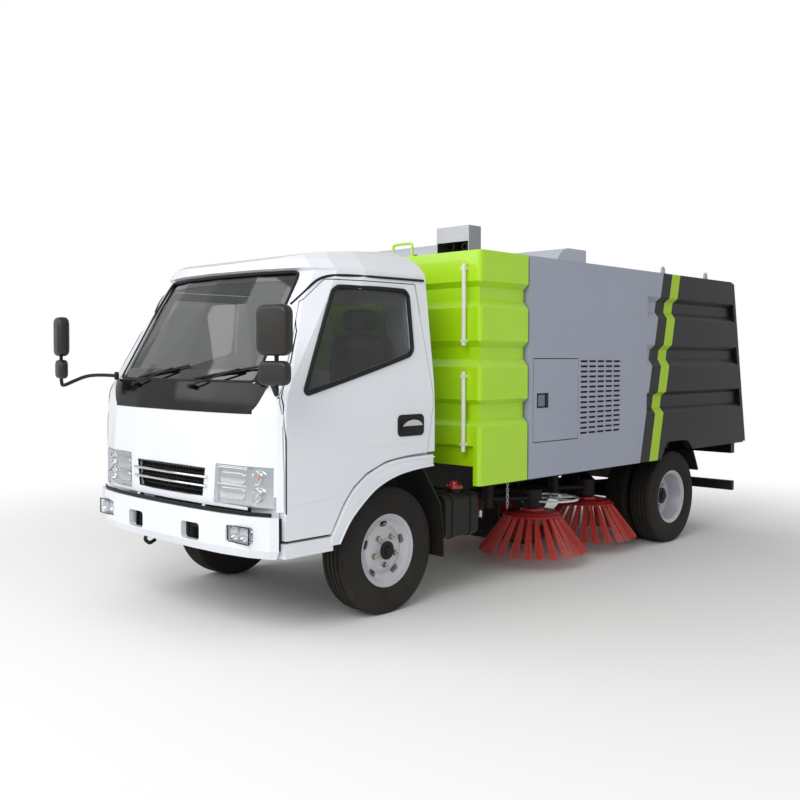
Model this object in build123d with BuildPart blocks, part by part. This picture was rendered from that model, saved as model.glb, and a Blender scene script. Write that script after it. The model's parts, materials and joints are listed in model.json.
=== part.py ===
"""A light street sweeper truck: a cab-over chassis with a water tank, a tipping dust hopper with its
engine cover, and four disc brushes slung between the axles. Millimetres, +Z up, front towards -Y.
Lengths along the truck are given from the front axle; the origin is on the ground at mid-length."""

from build123d import *
import os
from math import cos, radians, sin, sqrt

# Overall places, along the truck from the front axle
WHEELBASE = 3308
FRONT_REACH = 1179
REAR_REACH = 4600
AXLE_F = (FRONT_REACH - REAR_REACH) / 2

# Wheels and tyres
TYRE_R = 383
TYRE_W = 200
TREAD_W = 164
RIM_R = 221
BEAD_R = 205
RIM_W = 152
TRACK_HALF = 753
TWIN_MID = 733
TWIN_PITCH = 232
KINGPIN_X = 640
STUD_COUNT = 5
STUD_CIRCLE_R = 92
HAND_HOLES = 5

# Ladder frame and subframe
RAIL_X = 380
RAIL_FLANGE = 65
RAIL_T = 8
RAIL_Z = 580
RAIL_H = 180
RAIL_TOP = RAIL_Z + RAIL_H
FRAME_FRONT = -850
FRAME_REAR = 4290
CROSS_YS = (-815, 620, 1560, 2420, 3560, 4240)
SUB_H = 80
SUB_TOP = RAIL_TOP + SUB_H
SUB_FRONT = 660

# Bodywork on the frame
BODY_X = 1000
BODY_TOP = 2235
SKIRT_Z = 722
SKIRT_REAR_Z = 775
RIB_D = 40
TANK_FRONT = 668
TANK_REAR = 1177
TANK_BAND_Z = 960
BODY_GAP = 19
HOPPER_FRONT = TANK_REAR + BODY_GAP
HOPPER_REAR_TOP = 4251
HOPPER_REAR_LOW = 4537
PAINT_TOP_Y = 3013
PAINT_LOW_Y = 2672
RIB_START = 2762
COVER_T = 30
HOPPER_T = 60
FLOOR_Z = 860
FLOOR_T = 30
TILT_Y = 4322
TILT_Z = 800
DOOR_T = 50
FIT = 6
SEAT = 0.3

# Pressed ribs: where each recess opens, reaches its floor, leaves its floor and closes again
RIBS = (  # top, floor top, floor bottom, bottom
    (2040, 2003, 1921, 1868),
    (1658, 1615, 1539, 1483),
    (1276, 1245, 1146, 1101),
)

# Cab
CAB_WALL = 45
CAB_LOW = 719
BELT_Z = 1330
GUTTER_Z = 2010
CAB_REAR = 314
DECK_Z = 962
DOOR_FRONT = -866
DOOR_LOW = 566
CAB_TILT_Y = -974
CAB_TILT_Z = 706
TILT_PIN_R = 8

# Brushes: across, along, for the front and the rear pair
BRUSH_TIP_R = 405
BRUSH_TIP_Z = 95
DISC_R = 226
DISC_Z = 372
HUB_TOP = DISC_Z + 51
TUFTS = 24
FRONT_BRUSH = (600, 1795)
REAR_BRUSH = (545, 2610)
ARM_PIN_R = 20
ARM_Z = 500
ARM_EAR_GAP = 92

os.makedirs("parts", exist_ok=True)


def side(x=0):
    """The side-view plane at x: sketch with (along, up), extrude towards +X."""
    return Plane(origin=(x, AXLE_F, 0), x_dir=(0, 1, 0), z_dir=(1, 0, 0))


def plan(z=0):
    """The plan-view plane at height z: sketch with (across, along), extrude upwards."""
    return Plane(origin=(0, AXLE_F, z), x_dir=(1, 0, 0), z_dir=(0, 0, 1))


def across(y=0):
    """The cross-section plane at y: sketch with (across, up), extrude towards the tail."""
    return Plane(origin=(0, AXLE_F + y, 0), x_dir=(-1, 0, 0), z_dir=(0, 1, 0))


def spot(x, y, z):
    """A place given from the front axle."""
    return (x, AXLE_F + y, z)


def slab(x, y, z):
    """Adds a box between two corners given as pairs, at the builder's level."""
    with Locations(spot((x[0] + x[1]) / 2, (y[0] + y[1]) / 2, (z[0] + z[1]) / 2)):
        return Box(x[1] - x[0], y[1] - y[0], z[1] - z[0])


def bar(start, end, radius):
    """A round bar or tube's outside between two places, as a free solid."""
    a, b = Vector(*spot(*start)), Vector(*spot(*end))
    d = b - a
    return Solid.make_cylinder(radius, d.length, Plane(origin=a, z_dir=d))


def both_sides(part):
    """A left-hand part together with its mirror image on the right."""
    return Compound([part, mirror(part, about=Plane.YZ)])


def save(part, name):
    """Writes one named piece."""
    if isinstance(part, ShapeList):
        part = Compound(list(part))
    part.label = name
    export_step(part, f"parts/{name}.step")


# Wheels
def tyre(x, y, outer):
    """A tyre on its centre plane x; outer is the side that shows, +1 or -1."""
    half, tread = TYRE_W / 2, TREAD_W / 2
    with BuildPart() as made:
        with BuildSketch(Plane(origin=spot(x, y, TYRE_R), x_dir=(1, 0, 0), z_dir=(0, -1, 0))):
            Polygon(
                (-outer * RIM_W / 2, BEAD_R),
                (-outer * half, BEAD_R + 90),
                (-outer * tread, TYRE_R),
                (outer * tread, TYRE_R),
                (outer * (half - 2), TYRE_R - 42),
                (outer * RIM_W / 2, BEAD_R),
                align=None,
            )
        revolve(axis=Axis(spot(x, y, TYRE_R), (1, 0, 0)))
    return made.part


def rim(x, y, outer, disc_x, bore_r):
    """A pressed rim whose disc stands at disc_x from the centre plane, towards the outer side."""
    half = RIM_W / 2
    seat = BEAD_R - 0.3
    with BuildPart() as made:
        with BuildSketch(Plane(origin=spot(x, y, TYRE_R), x_dir=(outer, 0, 0), z_dir=(0, -outer, 0))):
            Polygon(
                (-half - 8, RIM_R),
                (-half, seat),
                (half, seat),
                (half + 8, RIM_R),
                (half + 3, RIM_R),
                (half - 8, seat - 9),
                (disc_x + 20, seat - 30),
                (disc_x + 10, 150),
                (disc_x + 26, 118),
                (disc_x + 26, bore_r),
                (disc_x + 16, bore_r),
                (disc_x + 16, 114),
                (disc_x, 146),
                (disc_x + 6, seat - 36),
                (disc_x - 8, seat - 34),
                (-half + 8, seat - 9),
                (-half - 3, RIM_R),
                align=None,
            )
        revolve(axis=Axis(spot(x, y, TYRE_R), (1, 0, 0)))
        centre = Plane(origin=spot(x, y, TYRE_R), x_dir=(0, 1, 0), z_dir=(outer, 0, 0))
        with BuildSketch(centre):
            with PolarLocations(158, HAND_HOLES, start_angle=18):
                SlotOverall(62, 34, rotation=90)
        extrude(amount=disc_x + 60, mode=Mode.SUBTRACT)
        with BuildSketch(centre.offset(disc_x + 20)):
            with PolarLocations(STUD_CIRCLE_R, STUD_COUNT, start_angle=54):
                RegularPolygon(15, 6)
        extrude(amount=30)
    return made.part


def hub(x0, x1, y, radius, outer):
    """A wheel hub drum between two distances from the centre line."""
    with BuildPart() as made:
        with BuildSketch(Plane(origin=spot(outer * x0, y, TYRE_R), x_dir=(0, 1, 0), z_dir=(outer, 0, 0))):
            Circle(radius)
        extrude(amount=x1 - x0)
    return made.part


FRONT_DISC_X = 30
REAR_DISC_X = -62
HUB_R = 62
HUB_BACK = 48
TWIN_HUB_BACK = 120
for tag, s in (("left", 1), ("right", -1)):
    mid = s * TRACK_HALF
    save(tyre(mid, 0, s), f"tyre_front_{tag}")
    with BuildPart() as front_rim:
        add(rim(mid, 0, s, FRONT_DISC_X, HUB_R - 4))
        add(hub(TRACK_HALF - HUB_BACK, TRACK_HALF + FRONT_DISC_X + 44, 0, HUB_R, s))
        with BuildSketch(Plane(origin=spot(s * (TRACK_HALF - HUB_BACK), 0, TYRE_R), x_dir=(0, 1, 0), z_dir=(s, 0, 0))):
            Circle(150)
        extrude(amount=60)
    save(front_rim.part, f"rim_front_{tag}")
    inner, outer_mid = s * (TWIN_MID - TWIN_PITCH / 2), s * (TWIN_MID + TWIN_PITCH / 2)
    save(Compound([tyre(inner, WHEELBASE, -s), tyre(outer_mid, WHEELBASE, s)]), f"tyres_rear_{tag}")
    with BuildPart() as rear_rim:
        add(rim(outer_mid, WHEELBASE, s, REAR_DISC_X, HUB_R))
        add(rim(inner, WHEELBASE, -s, REAR_DISC_X, HUB_R))
        add(hub(TWIN_MID - TWIN_HUB_BACK, TWIN_MID + 110, WHEELBASE, HUB_R + 14, s))
        add(hub(TWIN_MID - 55, TWIN_MID + 30, WHEELBASE, STUD_CIRCLE_R + 22, s))
    save(rear_rim.part, f"rim_rear_{tag}")

# Front axle: a beam between the kingpins, with the springs that carry the frame
SPRING_X = 390
SPRING_W = 66
BEAM_Z = 330
EYE_Z = 540


def leaf_spring(y, half_span, axle_top):
    """A curved pack of leaves from eye to eye, resting on the axle, as (along, up) shapes."""
    with BuildPart() as made:
        for leaf, share in enumerate((1.0, 0.78, 0.56, 0.34)):
            drop = leaf * 11
            reach = half_span * share
            rise = (EYE_Z - axle_top - 44) * share**2
            low = axle_top + 33 - drop
            with BuildSketch(side(SPRING_X - SPRING_W / 2)):
                with BuildLine():
                    upper = ThreePointArc(
                        (y - reach, low + rise + 11), (y, low + 11), (y + reach, low + rise + 11)
                    )
                    lower = ThreePointArc((y + reach, low + rise), (y, low), (y - reach, low + rise))
                    Line(upper @ 1, lower @ 0)
                    Line(lower @ 1, upper @ 0)
                make_face()
            extrude(amount=SPRING_W)
        for end in (-1, 1):
            with BuildSketch(side(SPRING_X - SPRING_W / 2)):
                with Locations((y + end * half_span, EYE_Z)):
                    Circle(24)
            extrude(amount=SPRING_W)
            with BuildSketch(side(SPRING_X - SPRING_W / 2)):
                with Locations((y + end * half_span, (EYE_Z + RAIL_Z) / 2)):
                    Rectangle(30, RAIL_Z - EYE_Z)
            extrude(amount=SPRING_W)
    return made.part


FRONT_SPRING_Z = BEAM_Z + 40
with BuildPart() as front_axle:
    with BuildSketch(across(-38)):
        Polygon(
            (-KINGPIN_X + 26, BEAM_Z + 55),
            (-KINGPIN_X + 26, BEAM_Z + 105),
            (-KINGPIN_X + 105, BEAM_Z + 40),
            (KINGPIN_X - 105, BEAM_Z + 40),
            (KINGPIN_X - 26, BEAM_Z + 105),
            (KINGPIN_X - 26, BEAM_Z + 10),
            (KINGPIN_X - 44, BEAM_Z + 10),
            (KINGPIN_X - 120, BEAM_Z - 40),
            (-KINGPIN_X + 120, BEAM_Z - 40),
            (-KINGPIN_X + 44, BEAM_Z + 10),
            (-KINGPIN_X + 26, BEAM_Z + 10),
            align=None,
        )
    extrude(amount=76)
    for s in (-1, 1):
        with Locations(spot(s * KINGPIN_X, 0, BEAM_Z + 57.5)):
            Cylinder(34, 95)
    for s in (-1, 1):
        spring = leaf_spring(0, 560, FRONT_SPRING_Z)
        add(spring if s > 0 else mirror(spring, about=Plane.YZ))
save(front_axle.part, "front_axle")

# Steering knuckles: a fork round the beam's end, with the spindle that carries the hub
for tag, s in (("left", 1), ("right", -1)):
    with BuildPart() as knuckle:
        for z0, z1 in ((BEAM_Z - 22, BEAM_Z + 9.5), (BEAM_Z + 105.5, BEAM_Z + 137)):
            slab(sorted((s * (KINGPIN_X - 26), s * (KINGPIN_X + 57))), (-32, 32), (z0, z1))
        slab(sorted((s * (KINGPIN_X + 40), s * (KINGPIN_X + 57))), (-40, 40), (BEAM_Z - 22, BEAM_Z + 137))
        slab(sorted((s * (KINGPIN_X - 26), s * KINGPIN_X)), (-210, -30), (BEAM_Z - 22, BEAM_Z - 4))
        add(bar((s * (KINGPIN_X + 50), 0, TYRE_R), (s * (TRACK_HALF - HUB_BACK - SEAT), 0, TYRE_R), 40))
    save(knuckle.part, f"knuckle_{tag}")

# Rear axle: a banjo housing with its tubes and springs
REAR_SPRING_Z = TYRE_R + 62
with BuildPart() as rear_axle:
    tube_half = TWIN_MID - TWIN_HUB_BACK - SEAT
    with BuildSketch(Plane(origin=spot(-tube_half, WHEELBASE, TYRE_R), x_dir=(0, 1, 0), z_dir=(1, 0, 0))):
        Circle(62)
    extrude(amount=2 * tube_half)
    with Locations(spot(0, WHEELBASE, TYRE_R)):
        Sphere(165)
    add(bar((0, WHEELBASE, TYRE_R), (0, WHEELBASE - 270, TYRE_R + 20), 62))
    for s in (-1, 1):
        spring = leaf_spring(WHEELBASE, 620, REAR_SPRING_Z)
        add(spring if s > 0 else mirror(spring, about=Plane.YZ))
save(rear_axle.part, "rear_axle")

# Ladder frame with its cross members, bumper brackets, cab hinges, rear hoop and tow hook
HINGE_X = 345
LUG_HALF = 12
EAR_T = 12
with BuildPart() as ladder_frame:
    for s in (-1, 1):
        with BuildSketch(across(FRAME_FRONT)):
            with Locations((-s * (RAIL_X - RAIL_FLANGE / 2), RAIL_Z + RAIL_H / 2)):
                Rectangle(RAIL_FLANGE, RAIL_H)
            with Locations((-s * (RAIL_X - RAIL_T - RAIL_FLANGE / 2), RAIL_Z + RAIL_H / 2)):
                Rectangle(RAIL_FLANGE, RAIL_H - 2 * RAIL_T, mode=Mode.SUBTRACT)
        extrude(amount=FRAME_REAR - FRAME_FRONT)
        slab(sorted((s * (RAIL_X - RAIL_FLANGE), s * RAIL_X)), (FRAME_FRONT, -790), (478, RAIL_Z + 30))
        slab(sorted((s * (RAIL_X - RAIL_FLANGE), s * RAIL_X)), (-1001.9, -790), (478, 506))
        for x in (HINGE_X - LUG_HALF - 3 - EAR_T, HINGE_X + LUG_HALF + 3):
            with BuildSketch(side(s * x if s > 0 else -x - EAR_T)):
                Polygon(
                    (CAB_TILT_Y - 16, 500),
                    (CAB_TILT_Y + 34, 500),
                    (CAB_TILT_Y + TILT_PIN_R + 1, CAB_TILT_Z),
                    (CAB_TILT_Y - TILT_PIN_R - 1, CAB_TILT_Z),
                    align=None,
                )
                with Locations((CAB_TILT_Y, CAB_TILT_Z)):
                    Circle(TILT_PIN_R + 1)
            extrude(amount=EAR_T)
        pin = LUG_HALF + 3 + EAR_T
        add(bar((s * HINGE_X - pin, CAB_TILT_Y, CAB_TILT_Z), (s * HINGE_X + pin, CAB_TILT_Y, CAB_TILT_Z), TILT_PIN_R))
        slab(sorted((s * 300, s * 350)), (205, 265), (RAIL_TOP - 10, DECK_Z - 30))
    for y in CROSS_YS:
        slab((-RAIL_X + 4, RAIL_X - 4), (y - 30, y + 30), (RAIL_Z + 20, RAIL_TOP - 60))
    for s in (-1, 1):
        for x, y in ((450, 1450), (440, 2300)):
            slab(sorted((s * (RAIL_X - 10), s * (x + 30))), (y - 30, y + 30), (600, 640))
            add(bar((s * x, y, 448), (s * x, y, 610), ARM_PIN_R))
            add(bar((s * x, y, 440), (s * x, y, ARM_Z - ARM_EAR_GAP / 2), 40))
            add(bar((s * x, y, ARM_Z + ARM_EAR_GAP / 2), (s * x, y, 604), 40))
    slab((-350, 350), (205, 265), (DECK_Z - 62, DECK_Z - 12))
    for s in (-1, 1):
        slab(sorted((s * 290, s * 340)), (210, 260), (DECK_Z - 14, DECK_Z - 0.3))
HOOK_X = -240
HOOK_PATH = ((HOOK_X, -905, 490), (HOOK_X, -985, 486), (HOOK_X, -1010, 440), (HOOK_X, -975, 412), (HOOK_X, -935, 430))
with BuildPart() as tow_hook:
    with BuildLine() as hook_line:
        FilletPolyline(*[spot(*p) for p in HOOK_PATH], radius=20)
    with BuildSketch(Plane(origin=hook_line.line @ 0, z_dir=hook_line.line % 0)):
        Circle(11)
    sweep()
with BuildPart() as hook_seat:
    add(tow_hook.part)
    slab((HOOK_X - 20, HOOK_X + 20), (-930, -820), (470, 505))
    slab((-RAIL_X + 10, HOOK_X), (-850, -812), (478, 505))
with BuildPart() as whole_frame:
    add(ladder_frame.part)
    add(hook_seat.part)
save(whole_frame.part, "ladder_frame")

# Subframe under the tank and the hopper, with the tilt hinge ears and the cylinder feet
EAR_X = 395
CYL_X = 255
CYL_PIN_R = 12
TILT_ROD_R = 16
CYL_FOOT = (2560, 700)
CYL_HEAD = (3850, 800)
with BuildPart() as subframe:
    for s in (-1, 1):
        slab(sorted((s * (RAIL_X - RAIL_FLANGE), s * RAIL_X)), (SUB_FRONT, TILT_Y + 28), (RAIL_TOP, SUB_TOP))
        add(bar((s * (RAIL_X - 40), TILT_Y, TILT_Z), (s * (EAR_X + 50), TILT_Y, TILT_Z), TILT_ROD_R))
    for y in (700, 1150, 1750, 2440, 4200):
        slab((-RAIL_X + 4, RAIL_X - 4), (y - 25, y + 25), (RAIL_TOP + 12, SUB_TOP - 6))
    for s in (-1, 1):
        for x in (-27, 15):
            slab(sorted((s * (CYL_X + x), s * (CYL_X + x + 12))), (2452, CYL_FOOT[0] + 28), (672, 728))
            slab(sorted((s * (CYL_X + x), s * (CYL_X + x + 12))), (2452, 2476), (672, 800))
        add(bar((s * CYL_X - 27, *CYL_FOOT), (s * CYL_X + 27, *CYL_FOOT), CYL_PIN_R))
save(subframe.part, "subframe")

# Engine and gearbox as plain blocks with the radiator ahead and the prop shaft behind
with BuildPart() as powertrain:
    slab((-270, 270), (-335, 190), (430, 880))
    slab((-150, 150), (180, 700), (430, 590))
    add(bar((0, 690, 520), (0, WHEELBASE - 276, TYRE_R + 20), 40))
    add(bar((0, WHEELBASE - 340, TYRE_R + 25.2), (0, WHEELBASE - 270 - SEAT, TYRE_R + 20.02), 50))
    for s in (-1, 1):
        slab(sorted((s * 260, s * (RAIL_X - RAIL_T - SEAT))), (-120, -60), (640, 690))
    slab((-290, 290), (-640, -560), (470, 780))
    slab((-40, 40), (-570, -330), (600, 680))
save(powertrain.part, "powertrain")

# Front bumper: a hollow pressed shell with its lamp and tow openings
BUMPER_LOW, BUMPER_TOP = 468, 694


def bumper_outline(inset):
    """The bumper's plan outline as points, inset by a wall."""
    shape = [(0, -1047), (300, -1041), (560, -1022), (760, -984), (880, -936), (915, -902)]
    moved = [(max(x - inset * (0.35 + x / 1400), 0), y + inset * (1 - x / 1800)) for x, y in shape[:-1]]
    moved.append((915 - inset, -902 + (1 if inset else 0)))
    return [(-x, y) for x, y in reversed(moved[1:])] + moved


with BuildPart() as front_bumper:
    with BuildSketch(plan(BUMPER_LOW + 46)):
        Polygon(*bumper_outline(0), align=None)
    extrude(amount=BUMPER_TOP - BUMPER_LOW - 46)
    with BuildSketch(plan(BUMPER_LOW + 46)):
        Polygon(*bumper_outline(0), align=None)
    with BuildSketch(plan(BUMPER_LOW)):
        Polygon(*bumper_outline(24), align=None)
    loft(ruled=True)
    with BuildSketch(plan(BUMPER_LOW - 1)):
        Polygon(*bumper_outline(40), align=None)
    extrude(amount=BUMPER_TOP - BUMPER_LOW + 2, mode=Mode.SUBTRACT)
    with BuildSketch(across(-1060)):
        for x in (-289, 289):
            with Locations((x, 568)):
                RectangleRounded(168, 98, 22)
        for x in (-690, 690):
            with Locations((x, 590)):
                RectangleRounded(190, 92, 16)
    extrude(amount=160, mode=Mode.SUBTRACT)
save(front_bumper.part, "front_bumper")

with BuildPart() as fog_lamps:
    for s in (-1, 1):
        with BuildSketch(across(-1004)):
            with Locations((s * 690, 590)):
                RectangleRounded(190, 92, 16)
        extrude(amount=52)
save(fog_lamps.part, "fog_lamps")

# Fuel tank on the left, air reservoir and battery box on the right
with BuildPart() as fuel_tank:
    with BuildSketch(across(456)):
        with Locations((-690, 531)):
            RectangleRounded(420, 277, 45)
    extrude(amount=324)
    for y in (520, 700):
        with BuildSketch(across(y)):
            with Locations((-690, 531)):
                RectangleRounded(432, 289, 50)
        extrude(amount=44)
    with Locations(spot(800, 655, 690)):
        Cylinder(48, 46)
    slab((RAIL_X, 490), (600, 630), (520, 640))
    slab((RAIL_X, 490), (706, 736), (520, 640))
save(fuel_tank.part, "fuel_tank")

with BuildPart() as air_reservoir:
    add(bar((-620, 470, 500), (-620, 860, 500), 105))
    slab((-600, -RAIL_X), (600, 640), (560, 620))
    slab((-600, -RAIL_X), (730, 770), (560, 620))
    slab((-880, -640), (640, 860), (480, 660))
save(air_reservoir.part, "air_reservoir")

# Mudguards: a curved plate behind each front wheel, a hung flap behind each rear pair
with BuildPart() as mudguards:
    for s in (-1, 1):
        with BuildSketch(side(s * 600 if s > 0 else -890)):
            Polygon((252, 858), (414, 622), (440, 470), (444, 287), (450, 287), (450, 470), (424, 626), (262, 864), align=None)
        extrude(amount=290)
        with BuildSketch(side(s * 600 if s > 0 else -900)):
            Polygon((3745, 744), (3847, 560), (3853, 560), (3853, 580), (3763, 744), align=None)
        extrude(amount=300)
        slab(sorted((s * RAIL_X, s * 620)), (3738, 3768), (722, 742))
        slab(sorted((s * RAIL_X, s * 620)), (424, 452), (600, 622))
save(mudguards.part, "mudguards")

# Underrun bar hung from the frame's tail
with BuildPart() as underrun_bar:
    slab((-950, 950), (4420, 4465), (331, 417))
    for s in (-1, 1):
        with BuildSketch(side(RAIL_X - 60 if s > 0 else -RAIL_X)):
            Polygon((4140, 580), (4290, 580), (4440, 417), (4440, 345), (4400, 345), (4380, 417), align=None)
        extrude(amount=60)
save(underrun_bar.part, "underrun_bar")


def rib_cutter(y0, y1, s):
    """The recesses between the pressed ribs down one side, from y0 to y1."""
    with BuildPart() as made:
        for top, floor_top, floor_low, low in RIBS:
            with BuildSketch(across(y0)):
                Polygon(
                    (-s * (BODY_X + 2), top),
                    (-s * (BODY_X - RIB_D), floor_top),
                    (-s * (BODY_X - RIB_D), floor_low),
                    (-s * (BODY_X + 2), low),
                    align=None,
                )
            extrude(amount=y1 - y0)
    return made.part


# Water tank
with BuildPart() as water_tank:
    with BuildSketch(side(-BODY_X)):
        Polygon(
            (TANK_FRONT, TANK_BAND_Z + 18),
            (TANK_FRONT, BODY_TOP),
            (TANK_REAR, BODY_TOP),
            (TANK_REAR, SUB_TOP),
            (TANK_FRONT + 40, SUB_TOP),
            (TANK_FRONT + 40, TANK_BAND_Z),
            align=None,
        )
    extrude(amount=2 * BODY_X)
    for s in (-1, 1):
        slab(sorted((s * (BODY_X - 54), s * BODY_X)), (TANK_FRONT, TANK_REAR), (SKIRT_Z, TANK_BAND_Z + 19))
    fillet(water_tank.edges().filter_by(Axis.Z).filter_by(lambda e: abs(abs(e.center().X) - BODY_X) < 1 and e.center().Y < AXLE_F + 700 and e.length > 900), 30)
    for s in (-1, 1):
        add(rib_cutter(TANK_FRONT - 5, TANK_REAR + 5, s), mode=Mode.SUBTRACT)
    for top, floor_top, floor_low, low in RIBS:
        with BuildSketch(side(-BODY_X - 5)):
            Polygon((TANK_FRONT - 2, top), (TANK_FRONT + RIB_D, floor_top), (TANK_FRONT + RIB_D, floor_low), (TANK_FRONT - 2, low), align=None)
        extrude(amount=2 * BODY_X + 10, mode=Mode.SUBTRACT)
save(water_tank.part, "water_tank")

# Level gauges: two sight tubes on the tank's face
with BuildPart() as level_gauges:
    for z0, z1 in ((1625, 2149), (940, 1457)):
        add(bar((881, TANK_FRONT - 22, z0), (881, TANK_FRONT - 22, z1), 14))
        for z in (z0 + 20, z1 - 40):
            slab((866, 896), (TANK_FRONT - 36, TANK_FRONT), (z, z + 20) if z0 > 1000 or z > 1000 else (978, 998))
save(level_gauges.part, "level_gauges")

# Stainless intake box on the tank, open at the lower front
with BuildPart() as intake_cowl:
    slab((545, 825), (760, 885), (BODY_TOP, 2415))
    with Locations(spot(685, 817, (BODY_TOP + 2318) / 2)):
        Box(268, 120, 2318 - BODY_TOP - 12, mode=Mode.SUBTRACT)
save(intake_cowl.part, "intake_cowl")


def eye(x, y, z, along):
    """A lifting eye: a plate standing on z with a bore, its bore's axis across or along."""
    with BuildPart() as made:
        d = (1, 0, 0) if along else (0, 1, 0)
        xd = (0, 1, 0) if along else (1, 0, 0)
        with BuildSketch(Plane(origin=spot(x, y, z), x_dir=xd, z_dir=d)):
            Polygon((-34, 0), (34, 0), (22, 48), (0, 60), (-22, 48), align=None) if along else Polygon((-34, 0), (-22, -48), (0, -60), (22, -48), (34, 0), align=None)
            with Locations((0, 32 if along else -32)):
                Circle(14, mode=Mode.SUBTRACT)
        extrude(amount=7, both=True)
    return made.part


save(both_sides(eye(661, 1060, BODY_TOP, True)), "lifting_eyes_front")
save(Compound([eye(s * 965, y, BODY_TOP, True) for s in (-1, 1) for y in (3060, 3806)]), "lifting_eyes_rear")

# Auxiliary engine and fan under the cover
with BuildPart() as auxiliary_engine:
    slab((-300, 300), (1480, 2060), (SUB_TOP, 1420))
    add(bar((0, 2140, 1180), (0, 2380, 1180), 330))
    add(bar((0, 2060, 1180), (0, 2140, 1180), 90))
    slab((-280, 280), (1350, 1480), (SUB_TOP, 1350))
    slab((-300, 300), (2180, 2340), (SUB_TOP, 900))
    for s in (-1, 1):
        for y in (1500, 1980):
            slab(sorted((s * 290, s * (RAIL_X - 20))), (y, y + 60), (SUB_TOP + SEAT, SUB_TOP + 40))
save(auxiliary_engine.part, "auxiliary_engine")

# Suction nozzle with its pipe up to the hopper, held to the right rail
PIPE = ((-120, 2200, 180), (-120, 2200, 330), (-120, 2870, 740), (-120, 2870, 848))
with BuildPart() as suction_pipe:
    with BuildLine() as pipe_line:
        FilletPolyline(*[spot(*p) for p in PIPE], radius=100)
    with BuildSketch(Plane(origin=pipe_line.line @ 0, z_dir=pipe_line.line % 0)):
        Circle(72)
    sweep()
with BuildPart() as suction_nozzle:
    slab((-300, 300), (2150, 2250), (45, 190))
    with Locations(spot(0, 2200, 105)):
        Box(576, 76, 122, mode=Mode.SUBTRACT)
    add(suction_pipe.part)
    slab((-RAIL_X + RAIL_T + SEAT, -150), (2560, 2600), (600, 640))
save(suction_nozzle.part, "suction_nozzle")

# Engine cover: an open-bottomed box with its door openings and louvres
TILT_SLOPE = (PAINT_TOP_Y - PAINT_LOW_Y) / (BODY_TOP - SKIRT_Z)
SERVICE_Y = (1245, 1785)
SERVICE_Z = (970, 1539)


def louvres(s):
    """The field of louvre slots on one side."""
    with BuildPart() as made:
        with BuildSketch(side(s * BODY_X if s < 0 else BODY_X - 14)):
            with Locations((2090, 1263.4)):
                with GridLocations(112, 37.2, 5, 15):
                    Rectangle(92, 16)
        extrude(amount=14)
    return made.part


COVER_SIDE = [(HOPPER_FRONT, SKIRT_Z), (HOPPER_FRONT, BODY_TOP), (PAINT_TOP_Y, BODY_TOP), (PAINT_LOW_Y, SKIRT_Z)]
with BuildPart() as engine_cover:
    with BuildSketch(side(-BODY_X)):
        Polygon(*COVER_SIDE, align=None)
    extrude(amount=2 * BODY_X)
    with BuildSketch(side(-BODY_X + 60)):
        Polygon(
            (HOPPER_FRONT + COVER_T, SKIRT_Z - 5),
            (HOPPER_FRONT + COVER_T, BODY_TOP - 60),
            (PAINT_TOP_Y + 50, BODY_TOP - 60),
            (PAINT_TOP_Y + 50, SKIRT_Z - 5),
            align=None,
        )
    extrude(amount=2 * BODY_X - 120, mode=Mode.SUBTRACT)
    with Locations(spot(0, HOPPER_FRONT + 15, 785)):
        Box(2 * BODY_X - 120, 60, 134, mode=Mode.SUBTRACT)
    for s in (-1, 1):
        with Locations(spot(s * (BODY_X - 32), (SERVICE_Y[0] + SERVICE_Y[1]) / 2, (SERVICE_Z[0] + SERVICE_Z[1]) / 2)):
            Box(80, SERVICE_Y[1] - SERVICE_Y[0] + 12, SERVICE_Z[1] - SERVICE_Z[0] + 12, mode=Mode.SUBTRACT)
        add(louvres(s), mode=Mode.SUBTRACT)
        add(rib_cutter(RIB_START, PAINT_TOP_Y + 50, s), mode=Mode.SUBTRACT)
save(engine_cover.part, "engine_cover")

for tag, s in (("left", 1), ("right", -1)):
    with BuildPart() as service_door:
        slab(sorted((s * (BODY_X - 26), s * BODY_X)), SERVICE_Y, SERVICE_Z)
        with Locations(spot(s * BODY_X, 1350, 1253)):
            Box(16, 130, 100, mode=Mode.SUBTRACT)
        slab(sorted((s * (BODY_X - 10), s * (BODY_X - 2))), (1290, 1410), (1210, 1296))
        for z in (SERVICE_Z[0] + 60, SERVICE_Z[1] - 120):
            add(bar((s * BODY_X, SERVICE_Y[1], z), (s * BODY_X, SERVICE_Y[1], z + 60), FIT - SEAT))
    save(service_door.part, f"service_door_{tag}")

# Roof hoods: a quarter-round air scoop at the rear and one across the front
with BuildPart() as roof_hoods:
    for y0, y1, x0, x1 in ((2071, 2493, -600, 600), (1215, 1600, -640, 150)):
        with BuildSketch(side(x0)):
            with BuildLine():
                Line((y0, BODY_TOP), (y1, BODY_TOP))
                Line((y1, BODY_TOP), (y1, 2405))
                Line((y1, 2405), (y0 + 190, 2405))
                ThreePointArc((y0 + 190, 2405), (y0 + 56, 2350), (y0, BODY_TOP))
            make_face()
        extrude(amount=x1 - x0)
save(roof_hoods.part, "roof_hoods")

# Dust hopper: walls, roof and floor, open at the tail
REAR_SLOPE = (HOPPER_REAR_LOW - HOPPER_REAR_TOP) / (BODY_TOP - SKIRT_REAR_Z)


def rear_y(z):
    """The hopper's slanted tail edge at height z."""
    return HOPPER_REAR_TOP + (BODY_TOP - z) * REAR_SLOPE


def front_y(z):
    """The slanted paint border, where hopper and engine cover meet, at height z."""
    return PAINT_TOP_Y - (BODY_TOP - z) * TILT_SLOPE


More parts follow.
